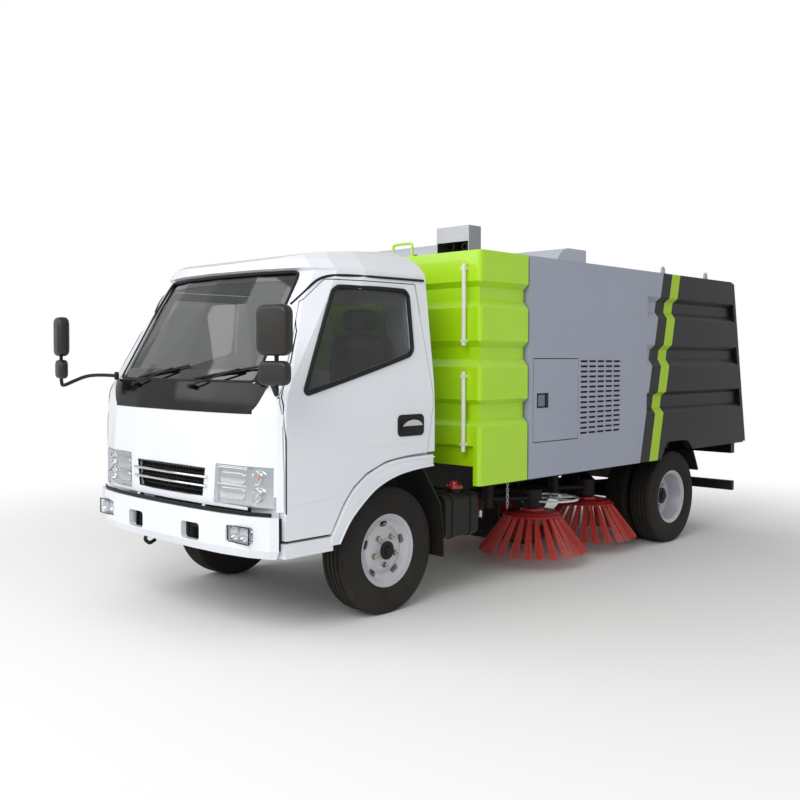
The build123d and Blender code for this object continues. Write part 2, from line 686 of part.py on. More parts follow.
ARCH_Y = (3004, 3555)
with BuildPart() as dust_hopper:
    with BuildSketch(side(-BODY_X)):
        Polygon(
            (front_y(BODY_TOP), BODY_TOP),
            (rear_y(BODY_TOP), BODY_TOP),
            (rear_y(SKIRT_REAR_Z), SKIRT_REAR_Z),
            (ARCH_Y[1], SKIRT_REAR_Z),
            (ARCH_Y[1] - 90, 850),
            (ARCH_Y[1] - 150, 861),
            (ARCH_Y[0] + 150, 861),
            (ARCH_Y[0] + 90, 850),
            (ARCH_Y[0], SKIRT_Z),
            (front_y(SKIRT_Z), SKIRT_Z),
            align=None,
        )
    extrude(amount=2 * BODY_X)
    with BuildSketch(side(-BODY_X + HOPPER_T)):
        Polygon(
            (front_y(BODY_TOP - HOPPER_T) + HOPPER_T, BODY_TOP - HOPPER_T),
            (rear_y(BODY_TOP - HOPPER_T) + 40, BODY_TOP - HOPPER_T),
            (rear_y(FLOOR_Z + FLOOR_T) + 40, FLOOR_Z + FLOOR_T),
            (front_y(FLOOR_Z + FLOOR_T) + HOPPER_T, FLOOR_Z + FLOOR_T),
            align=None,
        )
    extrude(amount=2 * BODY_X - 2 * HOPPER_T, mode=Mode.SUBTRACT)
    with BuildSketch(side(-BODY_X + HOPPER_T)):
        Polygon((front_y(SKIRT_Z) - 60, SKIRT_Z - 60), (front_y(FLOOR_Z) - 30, FLOOR_Z), (4700, FLOOR_Z), (4700, SKIRT_Z - 60), align=None)
    extrude(amount=2 * BODY_X - 2 * HOPPER_T, mode=Mode.SUBTRACT)
    for s in (-1, 1):
        add(rib_cutter(2600, 4700, s), mode=Mode.SUBTRACT)
        with BuildSketch(side(EAR_X if s > 0 else -EAR_X - 20)):
            Polygon((TILT_Y - 70, FLOOR_Z + 5), (TILT_Y + 70, FLOOR_Z + 5), (TILT_Y + 38, TILT_Z - 30), (TILT_Y - 38, TILT_Z - 30), align=None)
            with Locations((TILT_Y, TILT_Z)):
                Circle(TILT_ROD_R + SEAT, mode=Mode.SUBTRACT)
        extrude(amount=20)
        for x in (-38, 26):
            slab(sorted((s * (CYL_X + x), s * (CYL_X + x + 12))), (CYL_HEAD[0] - 30, CYL_HEAD[0] + 30), (CYL_HEAD[1] - 28, FLOOR_Z + 5))
    with Locations(spot(-120, 2870, FLOOR_Z + 15)):
        Cylinder(80, 60, mode=Mode.SUBTRACT)
    slab((-925, 925), (4450, 4520), (670, 769))
    for s in (-1, 1):
        slab(sorted((s * 700, s * 760)), (4450, 4500), (765, FLOOR_Z + 5))
save(dust_hopper.part, "dust_hopper")

with BuildPart() as tail_lamps:
    for s in (-1, 1):
        slab(sorted((s * 660, s * 910)), (4520, 4548), (680, 760))
save(tail_lamps.part, "tail_lamps")

# Tail door behind the slanted edge
with BuildPart() as tail_door:
    with BuildSketch(side(-BODY_X + 4)):
        Polygon(
            (rear_y(BODY_TOP - 6) + 7, BODY_TOP - 6),
            (rear_y(BODY_TOP - 6) + 7 + DOOR_T, BODY_TOP - 16),
            (rear_y(792) + 7 + DOOR_T, 782),
            (rear_y(792) + 7, 792),
            align=None,
        )
    extrude(amount=2 * BODY_X - 8)
    for x in (-800, -60, 680):
        add(bar((x, rear_y(BODY_TOP - 6) + 7, BODY_TOP - 6), (x + 120, rear_y(BODY_TOP - 6) + 7, BODY_TOP - 6), 6.5))
save(tail_door.part, "tail_door")

# Tipping cylinders
FOOT, HEAD = Vector(*spot(0, *CYL_FOOT)), Vector(*spot(0, *CYL_HEAD))
CYL_DIR = (HEAD - FOOT).normalized()
ROD_R = 18
with BuildPart() as tip_barrels:
    for s in (-1, 1):
        foot = Vector(s * CYL_X, FOOT.Y, FOOT.Z)
        with BuildSketch(Plane(origin=foot + CYL_DIR * 48, z_dir=CYL_DIR)):
            Circle(38)
            Circle(25, mode=Mode.SUBTRACT)
        extrude(amount=1000)
        with BuildSketch(Plane(origin=foot + CYL_DIR * 48, z_dir=CYL_DIR)):
            Circle(38)
        extrude(amount=20)
        with BuildSketch(Plane(origin=foot + CYL_DIR * 988, z_dir=CYL_DIR)):
            Circle(34)
            Circle(ROD_R + SEAT, mode=Mode.SUBTRACT)
        extrude(amount=60)
        with BuildSketch(Plane(origin=(s * CYL_X - 9, FOOT.Y, FOOT.Z), x_dir=(0, 1, 0), z_dir=(1, 0, 0))):
            Circle(22)
            with Locations((26, 3)):
                Rectangle(52, 30)
            Circle(CYL_PIN_R + SEAT, mode=Mode.SUBTRACT)
        extrude(amount=18)
save(tip_barrels.part, "tip_barrels")

with BuildPart() as tip_rods:
    for s in (-1, 1):
        foot = Vector(s * CYL_X, FOOT.Y, FOOT.Z)
        with BuildSketch(Plane(origin=foot + CYL_DIR * 76, z_dir=CYL_DIR)):
            Circle(ROD_R)
        extrude(amount=(HEAD - FOOT).length - 76 - 16)
        with BuildSketch(Plane(origin=(s * CYL_X - 9, HEAD.Y, HEAD.Z), x_dir=(0, 1, 0), z_dir=(1, 0, 0))):
            Circle(22)
        extrude(amount=18)
save(tip_rods.part, "tip_rods")

# Sweeping arms, left and mirrored right
for where, pivot, centre in (("front", (450, 1450), FRONT_BRUSH), ("rear", (440, 2300), REAR_BRUSH)):
    px, py, cx, cy = *pivot, *centre
    with BuildPart() as arm:
        with Locations(spot(px, py, ARM_Z)):
            Cylinder(42, ARM_EAR_GAP - 2 * SEAT)
        add(bar((px, py + 38, ARM_Z), (cx, cy - 60, ARM_Z), 24))
        with Locations(spot(cx, cy, ARM_Z - 3)):
            Cylinder(70, 130)
        add(bar((cx, cy, HUB_TOP + SEAT), (cx, cy, ARM_Z - 50), 28))
        with Locations(spot(px, py, ARM_Z)):
            Cylinder(ARM_PIN_R + SEAT, 120, mode=Mode.SUBTRACT)
        if where == "front":
            hoop = (cx, cy + 211)
            with BuildSketch(plan(466)):
                with Locations(hoop):
                    Circle(228)
                    Circle(212, mode=Mode.SUBTRACT)
                    for turn in range(3):
                        Rectangle(430, 10, rotation=60 * turn)
            extrude(amount=12)
    save(arm.part, f"arm_{where}_left")
    save(mirror(arm.part, about=Plane.YZ), f"arm_{where}_right")

# One brush about its own axis, set down in its four places
with BuildPart() as brush:
    with Locations((0, 0, DISC_Z + 12)):
        Cylinder(DISC_R, 24)
    with Locations((0, 0, DISC_Z + 36)):
        Cylinder(90, 30)
tufts = []
for turn in range(TUFTS):
    a = radians(360 / TUFTS * turn)
    root, tip = 190, BRUSH_TIP_R - 24
    d = Vector((tip - root) * cos(a), (tip - root) * sin(a), BRUSH_TIP_Z + 12 - DISC_Z - 4)
    start = Vector(root * cos(a), root * sin(a), DISC_Z + 4)
    with BuildPart() as tuft:
        with BuildSketch(Plane(origin=start, z_dir=d)):
            RegularPolygon(13, 6)
        with BuildSketch(Plane(origin=start + d, z_dir=d)):
            RegularPolygon(24, 6)
        loft(ruled=True)
    tufts.append(tuft.part)
BRUSH = brush.part.fuse(*tufts)
for where, centre in (("front", FRONT_BRUSH), ("rear", REAR_BRUSH)):
    for tag, s in (("left", 1), ("right", -1)):
        save(BRUSH.moved(Location(spot(s * centre[0], centre[1], 0))), f"brush_{where}_{tag}")

# Cab: plan outlines by height, as centre front, then corner points, then the side's half width
CAB_SECTIONS = (
    (560, -995, (700, -955), (885, -895), (930, -866), (930, -400)),
    (923, -990, (700, -950), (885, -893), (930, -866), (930, -400)),
    (1235, -972, (706, -925), (880, -884), (929, -862), (930, -400)),
    (1331, -958, (702, -912), (872, -872), (925, -850), (927, -400)),
    (1400, -942, (697, -895), (856, -848), (912, -815), (922, -400)),
    (1855, -735, (667, -640), (766, -611), (838, -500), (868, -300)),
    (2042, -628, (653, -522), (732, -490), (806, -385), (846, -200)),
    (2056, -660, (650, -552), (726, -512), (800, -400), (842, -200)),
    (2110, -645, (590, -545), (668, -505), (745, -395), (795, -200)),
    (2172, -560, (500, -480), (580, -440), (655, -340), (700, -180)),
    (2228, -480, (360, -420), (430, -380), (490, -290), (530, -160)),
)


def drawn_in(outline, inset):
    """A closed outline with every edge moved in by the same distance."""
    moved = []
    count = len(outline)
    for i, (x, y) in enumerate(outline):
        (x0, y0), (x1, y1) = outline[i - 1], outline[(i + 1) % count]
        a, b = (x - x0, y - y0), (x1 - x, y1 - y)
        la, lb = sqrt(a[0] ** 2 + a[1] ** 2), sqrt(b[0] ** 2 + b[1] ** 2)
        na, nb = (-a[1] / la, a[0] / la), (-b[1] / lb, b[0] / lb)
        share = inset / (1 + na[0] * nb[0] + na[1] * nb[1])
        moved.append((x + (na[0] + nb[0]) * share, y + (na[1] + nb[1]) * share))
    return moved


def cab_block(inset):
    """The cab's outer form in flat facets, or that form with every outline moved in."""
    rings = []
    for z, yf, b, c, d, e in CAB_SECTIONS:
        half = [(0, yf), (b[0] * 0.55, yf + 0.26 * (b[1] - yf)), b, c, d, e, (e[0], CAB_REAR)]
        outline = [(-x, y) for x, y in reversed(half[1:])] + half
        rings.append([Vector(*spot(x, y, z)) for x, y in drawn_in(outline, inset)])
    count = len(rings[0])
    facets = [rings[0], rings[-1]]
    for low, high in zip(rings, rings[1:]):
        for i in range(count):
            j = (i + 1) % count
            twist = (low[j] - low[i]).cross(high[i] - low[i]).dot(high[j] - low[i])
            if abs(twist) < 1:
                facets.append([low[i], low[j], high[j], high[i]])
            elif i < count // 2:
                facets += [[low[i], low[j], high[j]], [low[i], high[j], high[i]]]
            else:
                facets += [[low[i], low[j], high[i]], [low[j], high[j], high[i]]]
    form = Solid(Shell([Face(Wire.make_polygon(corners, close=True)) for corners in facets]))
    with BuildPart() as made:
        add(form)
        with BuildSketch(side(-1000)):
            Polygon((-1100, 2097 - inset), (-660, 2097 - inset), (-430, 2152 - inset), (CAB_REAR + 9, 2221 - inset), (CAB_REAR + 9, 2400), (-1100, 2400), align=None)
        extrude(amount=2000, mode=Mode.SUBTRACT)
    return made.part


CAB_OUTER = cab_block(0)
CAB_SKIN = cab_block(10)
CAB_INNER = cab_block(CAB_WALL)

ARCH_LINE = [(246, 968), (60, 960), (-110, 940), (-270, 884), (-376, 812), (-452, 724), (-518, 615), (-545, DOOR_LOW)]
DOOR_LOWER = [(DOOR_FRONT, DOOR_LOW), (DOOR_FRONT, 1331), (297, 1331), (303, 1285), *ARCH_LINE]
DOOR_UPPER = (  # outline, and how far in from the side it reaches
    ([(DOOR_FRONT, 1331), (-612, 1855), (-463, 1985), (-250, 1986), (-250, 1331)], 700),
    ([(-250, 1331), (-250, 1560), (266.3, 1560), (297, 1331)], 858),
    ([(-250, 1560), (-250, 1986), (209, 1989), (266.3, 1560)], 790),
)
DOOR_RELIEF = [(200, 1995), (222, 1995), (316, 1285), (296, 1285)]
FLARE = [
    *[(-550, 500), (-550, 545), (-505, 610), (-440, 717), (-364, 803), (-262, 870), (-110, 926), (60, 946), (300, 951)],
    *[(300, 882), (160, 874), (30, 858), (-70, 835), (-150, 806), (-226, 767), (-330, 688), (-410, 610), (-484, 500)],
]
DOOR_WINDOW = [(-424, 1940), (134, 1944), (133, 1570), (-729, 1345)]


def side_prism(points, x0, x1, grow=0):
    """A side-view outline pushed across the truck from x0 to x1."""
    with BuildPart() as made:
        with BuildSketch(side(x0)):
            Polygon(*points, align=None)
            if grow:
                offset(amount=grow, kind=Kind.INTERSECTION)
        extrude(amount=x1 - x0)
    return made.part


def front_prism(points, y0, y1):
    """A front-view outline pushed along the truck from y0 to y1; x is mirrored to suit the plane."""
    with BuildPart() as made:
        with BuildSketch(across(y0)):
            Polygon(*[(-x, z) for x, z in points], align=None)
        extrude(amount=y1 - y0)
    return made.part


def common(shape, tool):
    """What two shapes share, as one compound."""
    got = shape.intersect(tool)
    return Compound(list(got)) if isinstance(got, (list, ShapeList)) else got


WINDSCREEN = front_prism([(-690, 1412), (690, 1412), (646, 2030), (-646, 2030)], -1100, -420)
REAR_WINDOW = front_prism([(-560, 1460), (560, 1460), (540, 1900), (-540, 1900)], 150, 400)
COWL = front_prism([(-712, 1236), (712, 1236), (700, 1396), (-700, 1396)], -1100, -700)
GRILLE = front_prism([(-335, 762), (335, 762), (357, 923), (-357, 923)], -1100, -850)
LAMP = front_prism([(433, 735), (868, 735), (868, 955), (446, 955)], -1100, -876)
CAB_WALLS = CAB_OUTER.cut(CAB_INNER)
CAB_FACE = CAB_OUTER.cut(CAB_SKIN)

with BuildPart() as cab_room:
    add(CAB_INNER)
    add(side_prism([(-1000, 500), (-1000, 850), (-420, 850), (-300, 1010), (400, 1010), (400, 500)], -900, 900), mode=Mode.SUBTRACT)
with BuildPart() as cab_shell:
    add(CAB_OUTER)
    add(
        [
            cab_room.part,
            side_prism([(-1100, 500), (-1100, CAB_LOW), (-871, CAB_LOW), (-871, 500)], -1000, 1000),
            side_prism([(-950, 500), (-950, 800), (-430, 800), (-300, DECK_Z), (330, DECK_Z), (330, 500)], -885, 885),
            *[side_prism([(330, 500), (330, 970), *ARCH_LINE, (-545, 500)], *sorted((s * 885, s * 1000))) for s in (-1, 1)],
            WINDSCREEN,
            REAR_WINDOW,
            GRILLE,
            LAMP,
            mirror(LAMP, about=Plane.YZ),
            common(CAB_FACE, COWL),
        ],
        mode=Mode.SUBTRACT,
    )
    for s in (-1, 1):
        slab(sorted((s * 640, s * 930)), (-874, -529), (471, 551))
        slab(sorted((s * 640, s * 655)), (-874, -529), (540, 810))
        slab(sorted((s * 640, s * 879)), (-874, -860), (540, 810))
        slab(sorted((s * 640, s * 879)), (-545, -529), (540, 810))
        with BuildSketch(side(s * HINGE_X - LUG_HALF)):
            Polygon((CAB_TILT_Y - 10, CAB_TILT_Z), (CAB_TILT_Y - 10, CAB_LOW + 16), (CAB_TILT_Y + 13, CAB_LOW + 16), (CAB_TILT_Y + 13, CAB_TILT_Z), align=None)
            with Locations((CAB_TILT_Y, CAB_TILT_Z)):
                Circle(13)
                Circle(TILT_PIN_R + SEAT, mode=Mode.SUBTRACT)
        extrude(amount=2 * LUG_HALF)
        with BuildSketch(side(s * 780 if s > 0 else -930)):
            Polygon(*FLARE, align=None)
        extrude(amount=150)
        with BuildSketch(side(s * 780 if s > 0 else -879)):
            Polygon((-545, 500), (-545, 560), (-430, 805), (-300, DECK_Z + 5), (300, DECK_Z + 5), (300, 930), (-110, 905), (-340, 780), (-500, 505), align=None)
        extrude(amount=99)
    add(
        [side_prism(DOOR_LOWER, *sorted((s * 879, s * 1000)), grow=FIT) for s in (-1, 1)]
        + [side_prism(outline, *sorted((s * reach, s * 1000)), grow=FIT) for s in (-1, 1) for outline, reach in DOOR_UPPER]
        + [side_prism(DOOR_RELIEF, *sorted((s * 780, s * 872))) for s in (-1, 1)]
        + [Box(224, 315, 150, mode=Mode.PRIVATE).moved(Location(spot(s * 767, -702.5, 850))) for s in (-1, 1)],
        mode=Mode.SUBTRACT,
    )
save(Compound([max(cab_shell.part.solids(), key=lambda v: v.volume)]), "cab_shell")

PANE = CAB_SKIN.cut(cab_block(18))
with BuildPart() as cab_glass:
    add(common(PANE, WINDSCREEN))
    add(front_prism([(-560, 1460), (560, 1460), (540, 1900), (-540, 1900)], 285, 291))
save(cab_glass.part, "cab_glass")

save(common(CAB_FACE, COWL), "cowl_panel")
save(common(CAB_WALLS, GRILLE), "grille")
save(both_sides(common(CAB_WALLS, LAMP)), "headlamps")

with BuildPart() as door_space:
    add(side_prism(DOOR_LOWER, 885, 1000))
    for outline, reach in DOOR_UPPER:
        add(side_prism(outline, reach, 1000))
    add(side_prism(DOOR_WINDOW, 600, 1000), mode=Mode.SUBTRACT)
with BuildPart() as door:
    add(common(CAB_WALLS, door_space.part))
    for z in (700, 1180):
        slab((890, 915), (DOOR_FRONT - FIT + SEAT, DOOR_FRONT + 6), (z, z + 60))
DOOR = door.part
DOOR_GLASS = common(PANE, side_prism(DOOR_WINDOW, 600, 1000))
save(DOOR, "door_left")
save(mirror(DOOR, about=Plane.YZ), "door_right")
save(DOOR_GLASS, "door_glass_left")
save(mirror(DOOR_GLASS, about=Plane.YZ), "door_glass_right")

CAB_CLEAR = cab_block(-SEAT)
with BuildPart() as mirrors:
    for s in (-1, 1):
        add(bar((s * 745, -860, 1423), (s * 978, -1000, 1414), 11))
        add(bar((s * 978, -1000, 1414), (s * 1130, -1085, 1360), 11))
        add(bar((s * 1130, -1085, 1360), (s * 1130, -1085, 1700), 11))
        with Locations(Location(spot(s * 1120, -1092, 1679), (0, 0, s * 18))):
            Box(185, 52, 248)
        with Locations(Location(spot(s * 1120, -1092, 1465), (0, 0, s * 18))):
            Box(175, 48, 120)
    add(CAB_CLEAR, mode=Mode.SUBTRACT)
save(mirrors.part, "mirrors")

with BuildPart() as dashboard:
    slab((-790, 790), (-850, -690), (1060, 1240))
    slab((-600, 600), (-840, -700), (850.3, 1065))
    add(bar((400, -700, 1180), (400, -575, 1300), 30))
    with BuildSketch(Plane(origin=spot(400, -575, 1300), z_dir=(0, 125, 120))):
        Circle(205)
        Circle(188, mode=Mode.SUBTRACT)
        Rectangle(390, 34)
    extrude(amount=18)
save(dashboard.part, "dashboard")

with BuildPart() as seats:
    for x0, x1 in ((140, 690), (-690, -140)):
        slab((x0, x1), (-260, 200), (1010.3, 1270))
        slab((x0 + 20, x1 - 20), (120, 230), (1265, 1800))
save(seats.part, "seats")
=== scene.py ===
"""A light street sweeper truck, dressed for rendering.

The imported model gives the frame. Classes below add what the solids leave out: tread, bristles, lamps,
seals, seats and pipes. Places are given in millimetres from the front axle, as at(across, along, up).
"""

from __future__ import annotations

import json
import logging
import math
from collections.abc import Callable, Iterator
from contextlib import contextmanager
from dataclasses import dataclass, field
from enum import Enum

import bpy
from mathutils import Matrix, Vector
from mathutils.bvhtree import BVHTree

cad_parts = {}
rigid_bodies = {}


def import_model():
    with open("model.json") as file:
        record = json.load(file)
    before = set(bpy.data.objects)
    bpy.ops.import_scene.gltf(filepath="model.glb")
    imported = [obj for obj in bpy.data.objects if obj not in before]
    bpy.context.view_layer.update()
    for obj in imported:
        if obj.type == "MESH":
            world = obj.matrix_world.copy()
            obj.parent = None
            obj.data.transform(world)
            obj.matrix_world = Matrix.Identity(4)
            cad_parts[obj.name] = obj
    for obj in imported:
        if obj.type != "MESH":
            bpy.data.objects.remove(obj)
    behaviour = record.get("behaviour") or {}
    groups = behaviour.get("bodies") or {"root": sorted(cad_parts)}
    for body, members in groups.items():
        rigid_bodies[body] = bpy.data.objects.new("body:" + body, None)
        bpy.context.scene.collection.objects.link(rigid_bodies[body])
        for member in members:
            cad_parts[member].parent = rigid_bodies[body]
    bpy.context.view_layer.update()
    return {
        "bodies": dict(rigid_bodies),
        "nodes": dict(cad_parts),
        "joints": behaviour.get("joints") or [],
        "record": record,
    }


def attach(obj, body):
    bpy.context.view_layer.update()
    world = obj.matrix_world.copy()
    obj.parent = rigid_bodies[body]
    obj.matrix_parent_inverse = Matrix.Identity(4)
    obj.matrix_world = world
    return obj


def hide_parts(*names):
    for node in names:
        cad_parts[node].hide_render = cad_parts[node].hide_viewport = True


LOG = logging.getLogger("sweeper")
AXLE_Y = -1.7105  # the front axle in the row frame, in metres
WHEELBASE = 3308.0
HUB_HEIGHT = 383.0
AHEAD = -1300.0  # where lines start in front of the cab
BESIDE = 1300.0  # and where they start beside it
BACKWARD = Vector((0, 1, 0))
UPWARD = Vector((0, 0, 1))
PHOTO_PX = 800
Point = tuple[float, float, float]
Flat = tuple[float, float]
Tree = bpy.types.NodeTree
Socket = bpy.types.NodeSocket
Piece = bpy.types.Object


def at(x: float, y: float, z: float) -> Vector:
    """Turns millimetres from the front axle into metres in the row frame.

    Args:
        x: Distance to the truck's left.
        y: Distance behind the front axle.
        z: Height above the ground.

    Returns:
        The place in the row frame.
    """
    return Vector((x / 1000, y / 1000 + AXLE_Y, z / 1000))


@dataclass(frozen=True)
class Side:
    """One side of the truck."""

    tag: str
    sign: int

    def at(self, x: float, y: float, z: float) -> Vector:
        """Returns a place on this side, with x counted outwards from the middle."""
        return at(self.sign * x, y, z)

    @property
    def outward(self) -> Vector:
        """Returns the way out of this side."""
        return Vector((self.sign, 0, 0))


SIDES = (Side("left", 1), Side("right", -1))


def linear(code: str) -> tuple[float, float, float, float]:
    """Turns an sRGB hex colour into linear light.

    Args:
        code: Six hex digits.

    Returns:
        Red, green, blue and an alpha of one.
    """
    parts = [int(code[i : i + 2], 16) / 255 for i in (0, 2, 4)]
    red, green, blue = (p / 12.92 if p <= 0.04045 else ((p + 0.055) / 1.055) ** 2.4 for p in parts)
    return (red, green, blue, 1.0)


def node(tree: Tree, kind: str, settings: dict | None = None, **links: object) -> bpy.types.Node:
    """Adds one shader node with its settings and its input links.

    Args:
        tree: The node tree that receives it.
        kind: Blender's node type.
        settings: Attributes of the node.
        **links: Input name, with _ for a space, to a value or another node's output.

    Returns:
        The new node.
    """
    made = tree.nodes.new(kind)
    for key, value in (settings or {}).items():
        setattr(made, key, value)
    for key, value in links.items():
        index = key.replace("_", " ")
        socket = made.inputs[int(index[2:])] if index.startswith("n ") else made.inputs[index]
        if isinstance(value, Socket):
            tree.links.new(value, socket)
        else:
            socket.default_value = value
    return made


def maths(tree: Tree, operation: str, first: object, second: object = 0.0) -> Socket:
    """Adds one sum to a material.

    Args:
        tree: The node tree that receives it.
        operation: Blender's name of the sum.
        first: A value or another node's output.
        second: The other value or output.

    Returns:
        The result.
    """
    return node(tree, "ShaderNodeMath", {"operation": operation}, n_0=first, n_1=second).outputs[0]


def blend(tree: Tree, share: object, first: object, second: object) -> Socket:
    """Mixes two colours.

    Args:
        tree: The node tree that receives it.
        share: How much of the second colour shows.
        first: A colour or another node's output.
        second: The other colour or output.

    Returns:
        The mixed colour.
    """
    return node(tree, "ShaderNodeMix", {"data_type": "RGBA"}, Factor=share, n_6=first, n_7=second).outputs[2]


def blank(name: str) -> tuple[bpy.types.Material, Tree, bpy.types.Node]:
    """Starts a material.

    Args:
        name: Its name.

    Returns:
        The material, its nodes and its main shader.
    """
    made = bpy.data.materials.new(name)
    made.use_nodes = True
    return made, made.node_tree, made.node_tree.nodes["Principled BSDF"]


class Grain(Enum):
    """The small relief that a surface has."""

    PEEL = "orange peel of sprayed enamel"
    MOULD = "fine pitting of moulded plastic"
    BRUSH = "long scratches of brushed sheet"
    WEAVE = "cloth threads"
    NONE = "polished"


@dataclass(frozen=True)
class Finish:
    """One surface finish, by what it is and how it was made."""

    name: str
    colour: str
    shade: str
    rough: float
    metal: float = 0.0
    coat: float = 0.0
    grain: Grain = Grain.PEEL
    pitch_mm: float = 6.0
    relief: float = 0.03
    dust: float = 0.0
    specular: float = 0.5

    def coords(self, tree: Tree) -> Socket:
        """Returns the piece's own coordinates."""
        return node(tree, "ShaderNodeTexCoord").outputs["Object"]

    def build(self) -> bpy.types.Material:
        """Makes the material.

        Returns:
            The finished material.
        """
        made, tree, shader = blank(self.name)
        coords = self.coords(tree)
        drift = node(tree, "ShaderNodeTexNoise", Vector=coords, Scale=2.3, Detail=3.0, Roughness=0.55)
        tint = blend(tree, drift.outputs["Fac"], linear(self.colour), linear(self.shade))
        tint = self.pattern(tree, coords, tint)
        if self.dust:
            tint = self.dirt(tree, coords, tint)
        tree.links.new(tint, shader.inputs["Base Color"])
        looks = {
            "Roughness": self.rough,
            "Metallic": self.metal,
            "Coat Weight": self.coat,
            "Coat Roughness": 0.04,
            "Specular IOR Level": self.specular,
        }
        for key, value in looks.items():
            shader.inputs[key].default_value = value
        if self.grain is not Grain.NONE:
            tree.links.new(self.bump(tree, coords), shader.inputs["Normal"])
        made.diffuse_color = linear(self.colour)
        return made

    def pattern(self, tree: Tree, coords: Socket, tint: Socket) -> Socket:
        """Returns the colour with any painted pattern; a plain finish has none."""
        return tint

    def dirt(self, tree: Tree, coords: Socket, tint: Socket) -> Socket:
        """Lays road dust on the low parts.

        Args:
            tree: The material's nodes.
            coords: The piece's coordinates.
            tint: The clean colour.

        Returns:
            The dusty colour.
        """
        parts = node(tree, "ShaderNodeSeparateXYZ", Vector=coords)
        low = node(
            tree, "ShaderNodeMapRange", Value=parts.outputs["Z"], From_Min=0.1, From_Max=1.1, To_Min=1.0,
            To_Max=0.0,
        )
        cloud = node(tree, "ShaderNodeTexNoise", Vector=coords, Scale=9.0, Detail=5.0, Roughness=0.65)
        share = maths(tree, "MULTIPLY", low.outputs[0], cloud.outputs["Fac"])
        return blend(tree, maths(tree, "MULTIPLY", share, self.dust), tint, linear("8B7E6C"))

    def bump(self, tree: Tree, coords: Socket) -> Socket:
        """Makes the fine relief.

        Args:
            tree: The material's nodes.
            coords: The piece's coordinates.

        Returns:
            The bumped normal.
        """
        stretch = {Grain.BRUSH: (0.04, 0.04, 1.0)}.get(self.grain, (1.0, 1.0, 1.0))
        mapped = node(tree, "ShaderNodeMapping", Vector=coords)
        mapped.inputs["Scale"].default_value = stretch
        scale = 1000 / self.pitch_mm
        if self.grain is Grain.WEAVE:
            height = node(
                tree, "ShaderNodeTexWave", {"bands_direction": "DIAGONAL"}, Vector=mapped.outputs[0],
                Scale=scale / 6,
            ).outputs["Fac"]
        else:
            height = node(
                tree, "ShaderNodeTexNoise", Vector=mapped.outputs[0], Scale=scale, Detail=2.0,
            ).outputs["Fac"]
        return node(
            tree, "ShaderNodeBump", Strength=self.relief * 6, Distance=0.001, Height=height,
        ).outputs["Normal"]


@dataclass(frozen=True)
class SlantedPaint(Finish):
    """Enamel in two colours that meet along the body's slanted border, with a slanted stripe."""

    behind: str = "101216"
    stripe: str = "A9CF1B"
    border: tuple[float, float] = (3.013, 2.235)
    slope: float = 0.22539
    band: tuple[float, float] = (0.143, 0.277)

    def pattern(self, tree: Tree, coords: Socket, tint: Socket) -> Socket:
        """Paints the part behind the border and the stripe.

        Args:
            tree: The material's nodes.
            coords: The piece's coordinates.
            tint: The colour ahead of the border.

        Returns:
            The painted colour.
        """
        parts = node(tree, "ShaderNodeSeparateXYZ", Vector=coords)
        slant = maths(tree, "MULTIPLY", parts.outputs["Z"], -self.slope)
        run = maths(tree, "ADD", parts.outputs["Y"], slant)
        start = self.border[0] + AXLE_Y - self.border[1] * self.slope
        base = blend(tree, maths(tree, "GREATER_THAN", run, start - 0.001), tint, linear(self.behind))
        first, last = (start + edge for edge in self.band)
        band = maths(
            tree, "MULTIPLY", maths(tree, "GREATER_THAN", run, first), maths(tree, "LESS_THAN", run, last),
        )
        return blend(tree, band, base, linear(self.stripe))


@dataclass(frozen=True)
class ClearPane(Finish):
    """Tinted safety glass, float-made: mostly see-through, with a gloss."""

    see: float = 0.22
    printed: bool = False

    def build(self) -> bpy.types.Material:
        """Makes the glass.

        Returns:
            The finished material.
        """
        made, tree, shader = blank(self.name)
        cloud = node(tree, "ShaderNodeTexNoise", Vector=self.coords(tree), Scale=1.4, Detail=2.0)
        colour = blend(tree, cloud.outputs["Fac"], linear(self.colour), linear(self.shade))
        if self.printed:
            edge = self.border(tree)
            colour = blend(tree, edge, colour, linear("060607"))
            cover = node(tree, "ShaderNodeMapRange", Value=edge, To_Min=self.see, To_Max=1.0)
            tree.links.new(cover.outputs[0], shader.inputs["Alpha"])
        else:
            shader.inputs["Alpha"].default_value = self.see
        tree.links.new(colour, shader.inputs["Base Color"])
        shader.inputs["Roughness"].default_value = self.rough
        shader.inputs["Coat Weight"].default_value = 1.0
        made.surface_render_method = "BLENDED"
        made.diffuse_color = linear(self.colour)
        return made

    def border(self, tree: Tree) -> Socket:
        """Marks the black band that is printed round the windscreen.

        Args:
            tree: The material's nodes.

        Returns:
            One on the band, nothing elsewhere.
        """
        parts = node(tree, "ShaderNodeSeparateXYZ", Vector=self.coords(tree))
        across, along, up = (parts.outputs[axis] for axis in "XYZ")
        limit = node(
            tree, "ShaderNodeMapRange", Value=up, From_Min=1.412, From_Max=2.03, To_Min=0.645, To_Max=0.600,
        )
        flank = maths(tree, "GREATER_THAN", maths(tree, "ABSOLUTE", across), limit.outputs[0])
        ends = maths(
            tree, "MAXIMUM", maths(tree, "LESS_THAN", up, 1.475), maths(tree, "GREATER_THAN", up, 1.985),
        )
        ahead = maths(tree, "LESS_THAN", along, -2.0)
        return maths(tree, "MULTIPLY", maths(tree, "MAXIMUM", flank, ends), ahead)


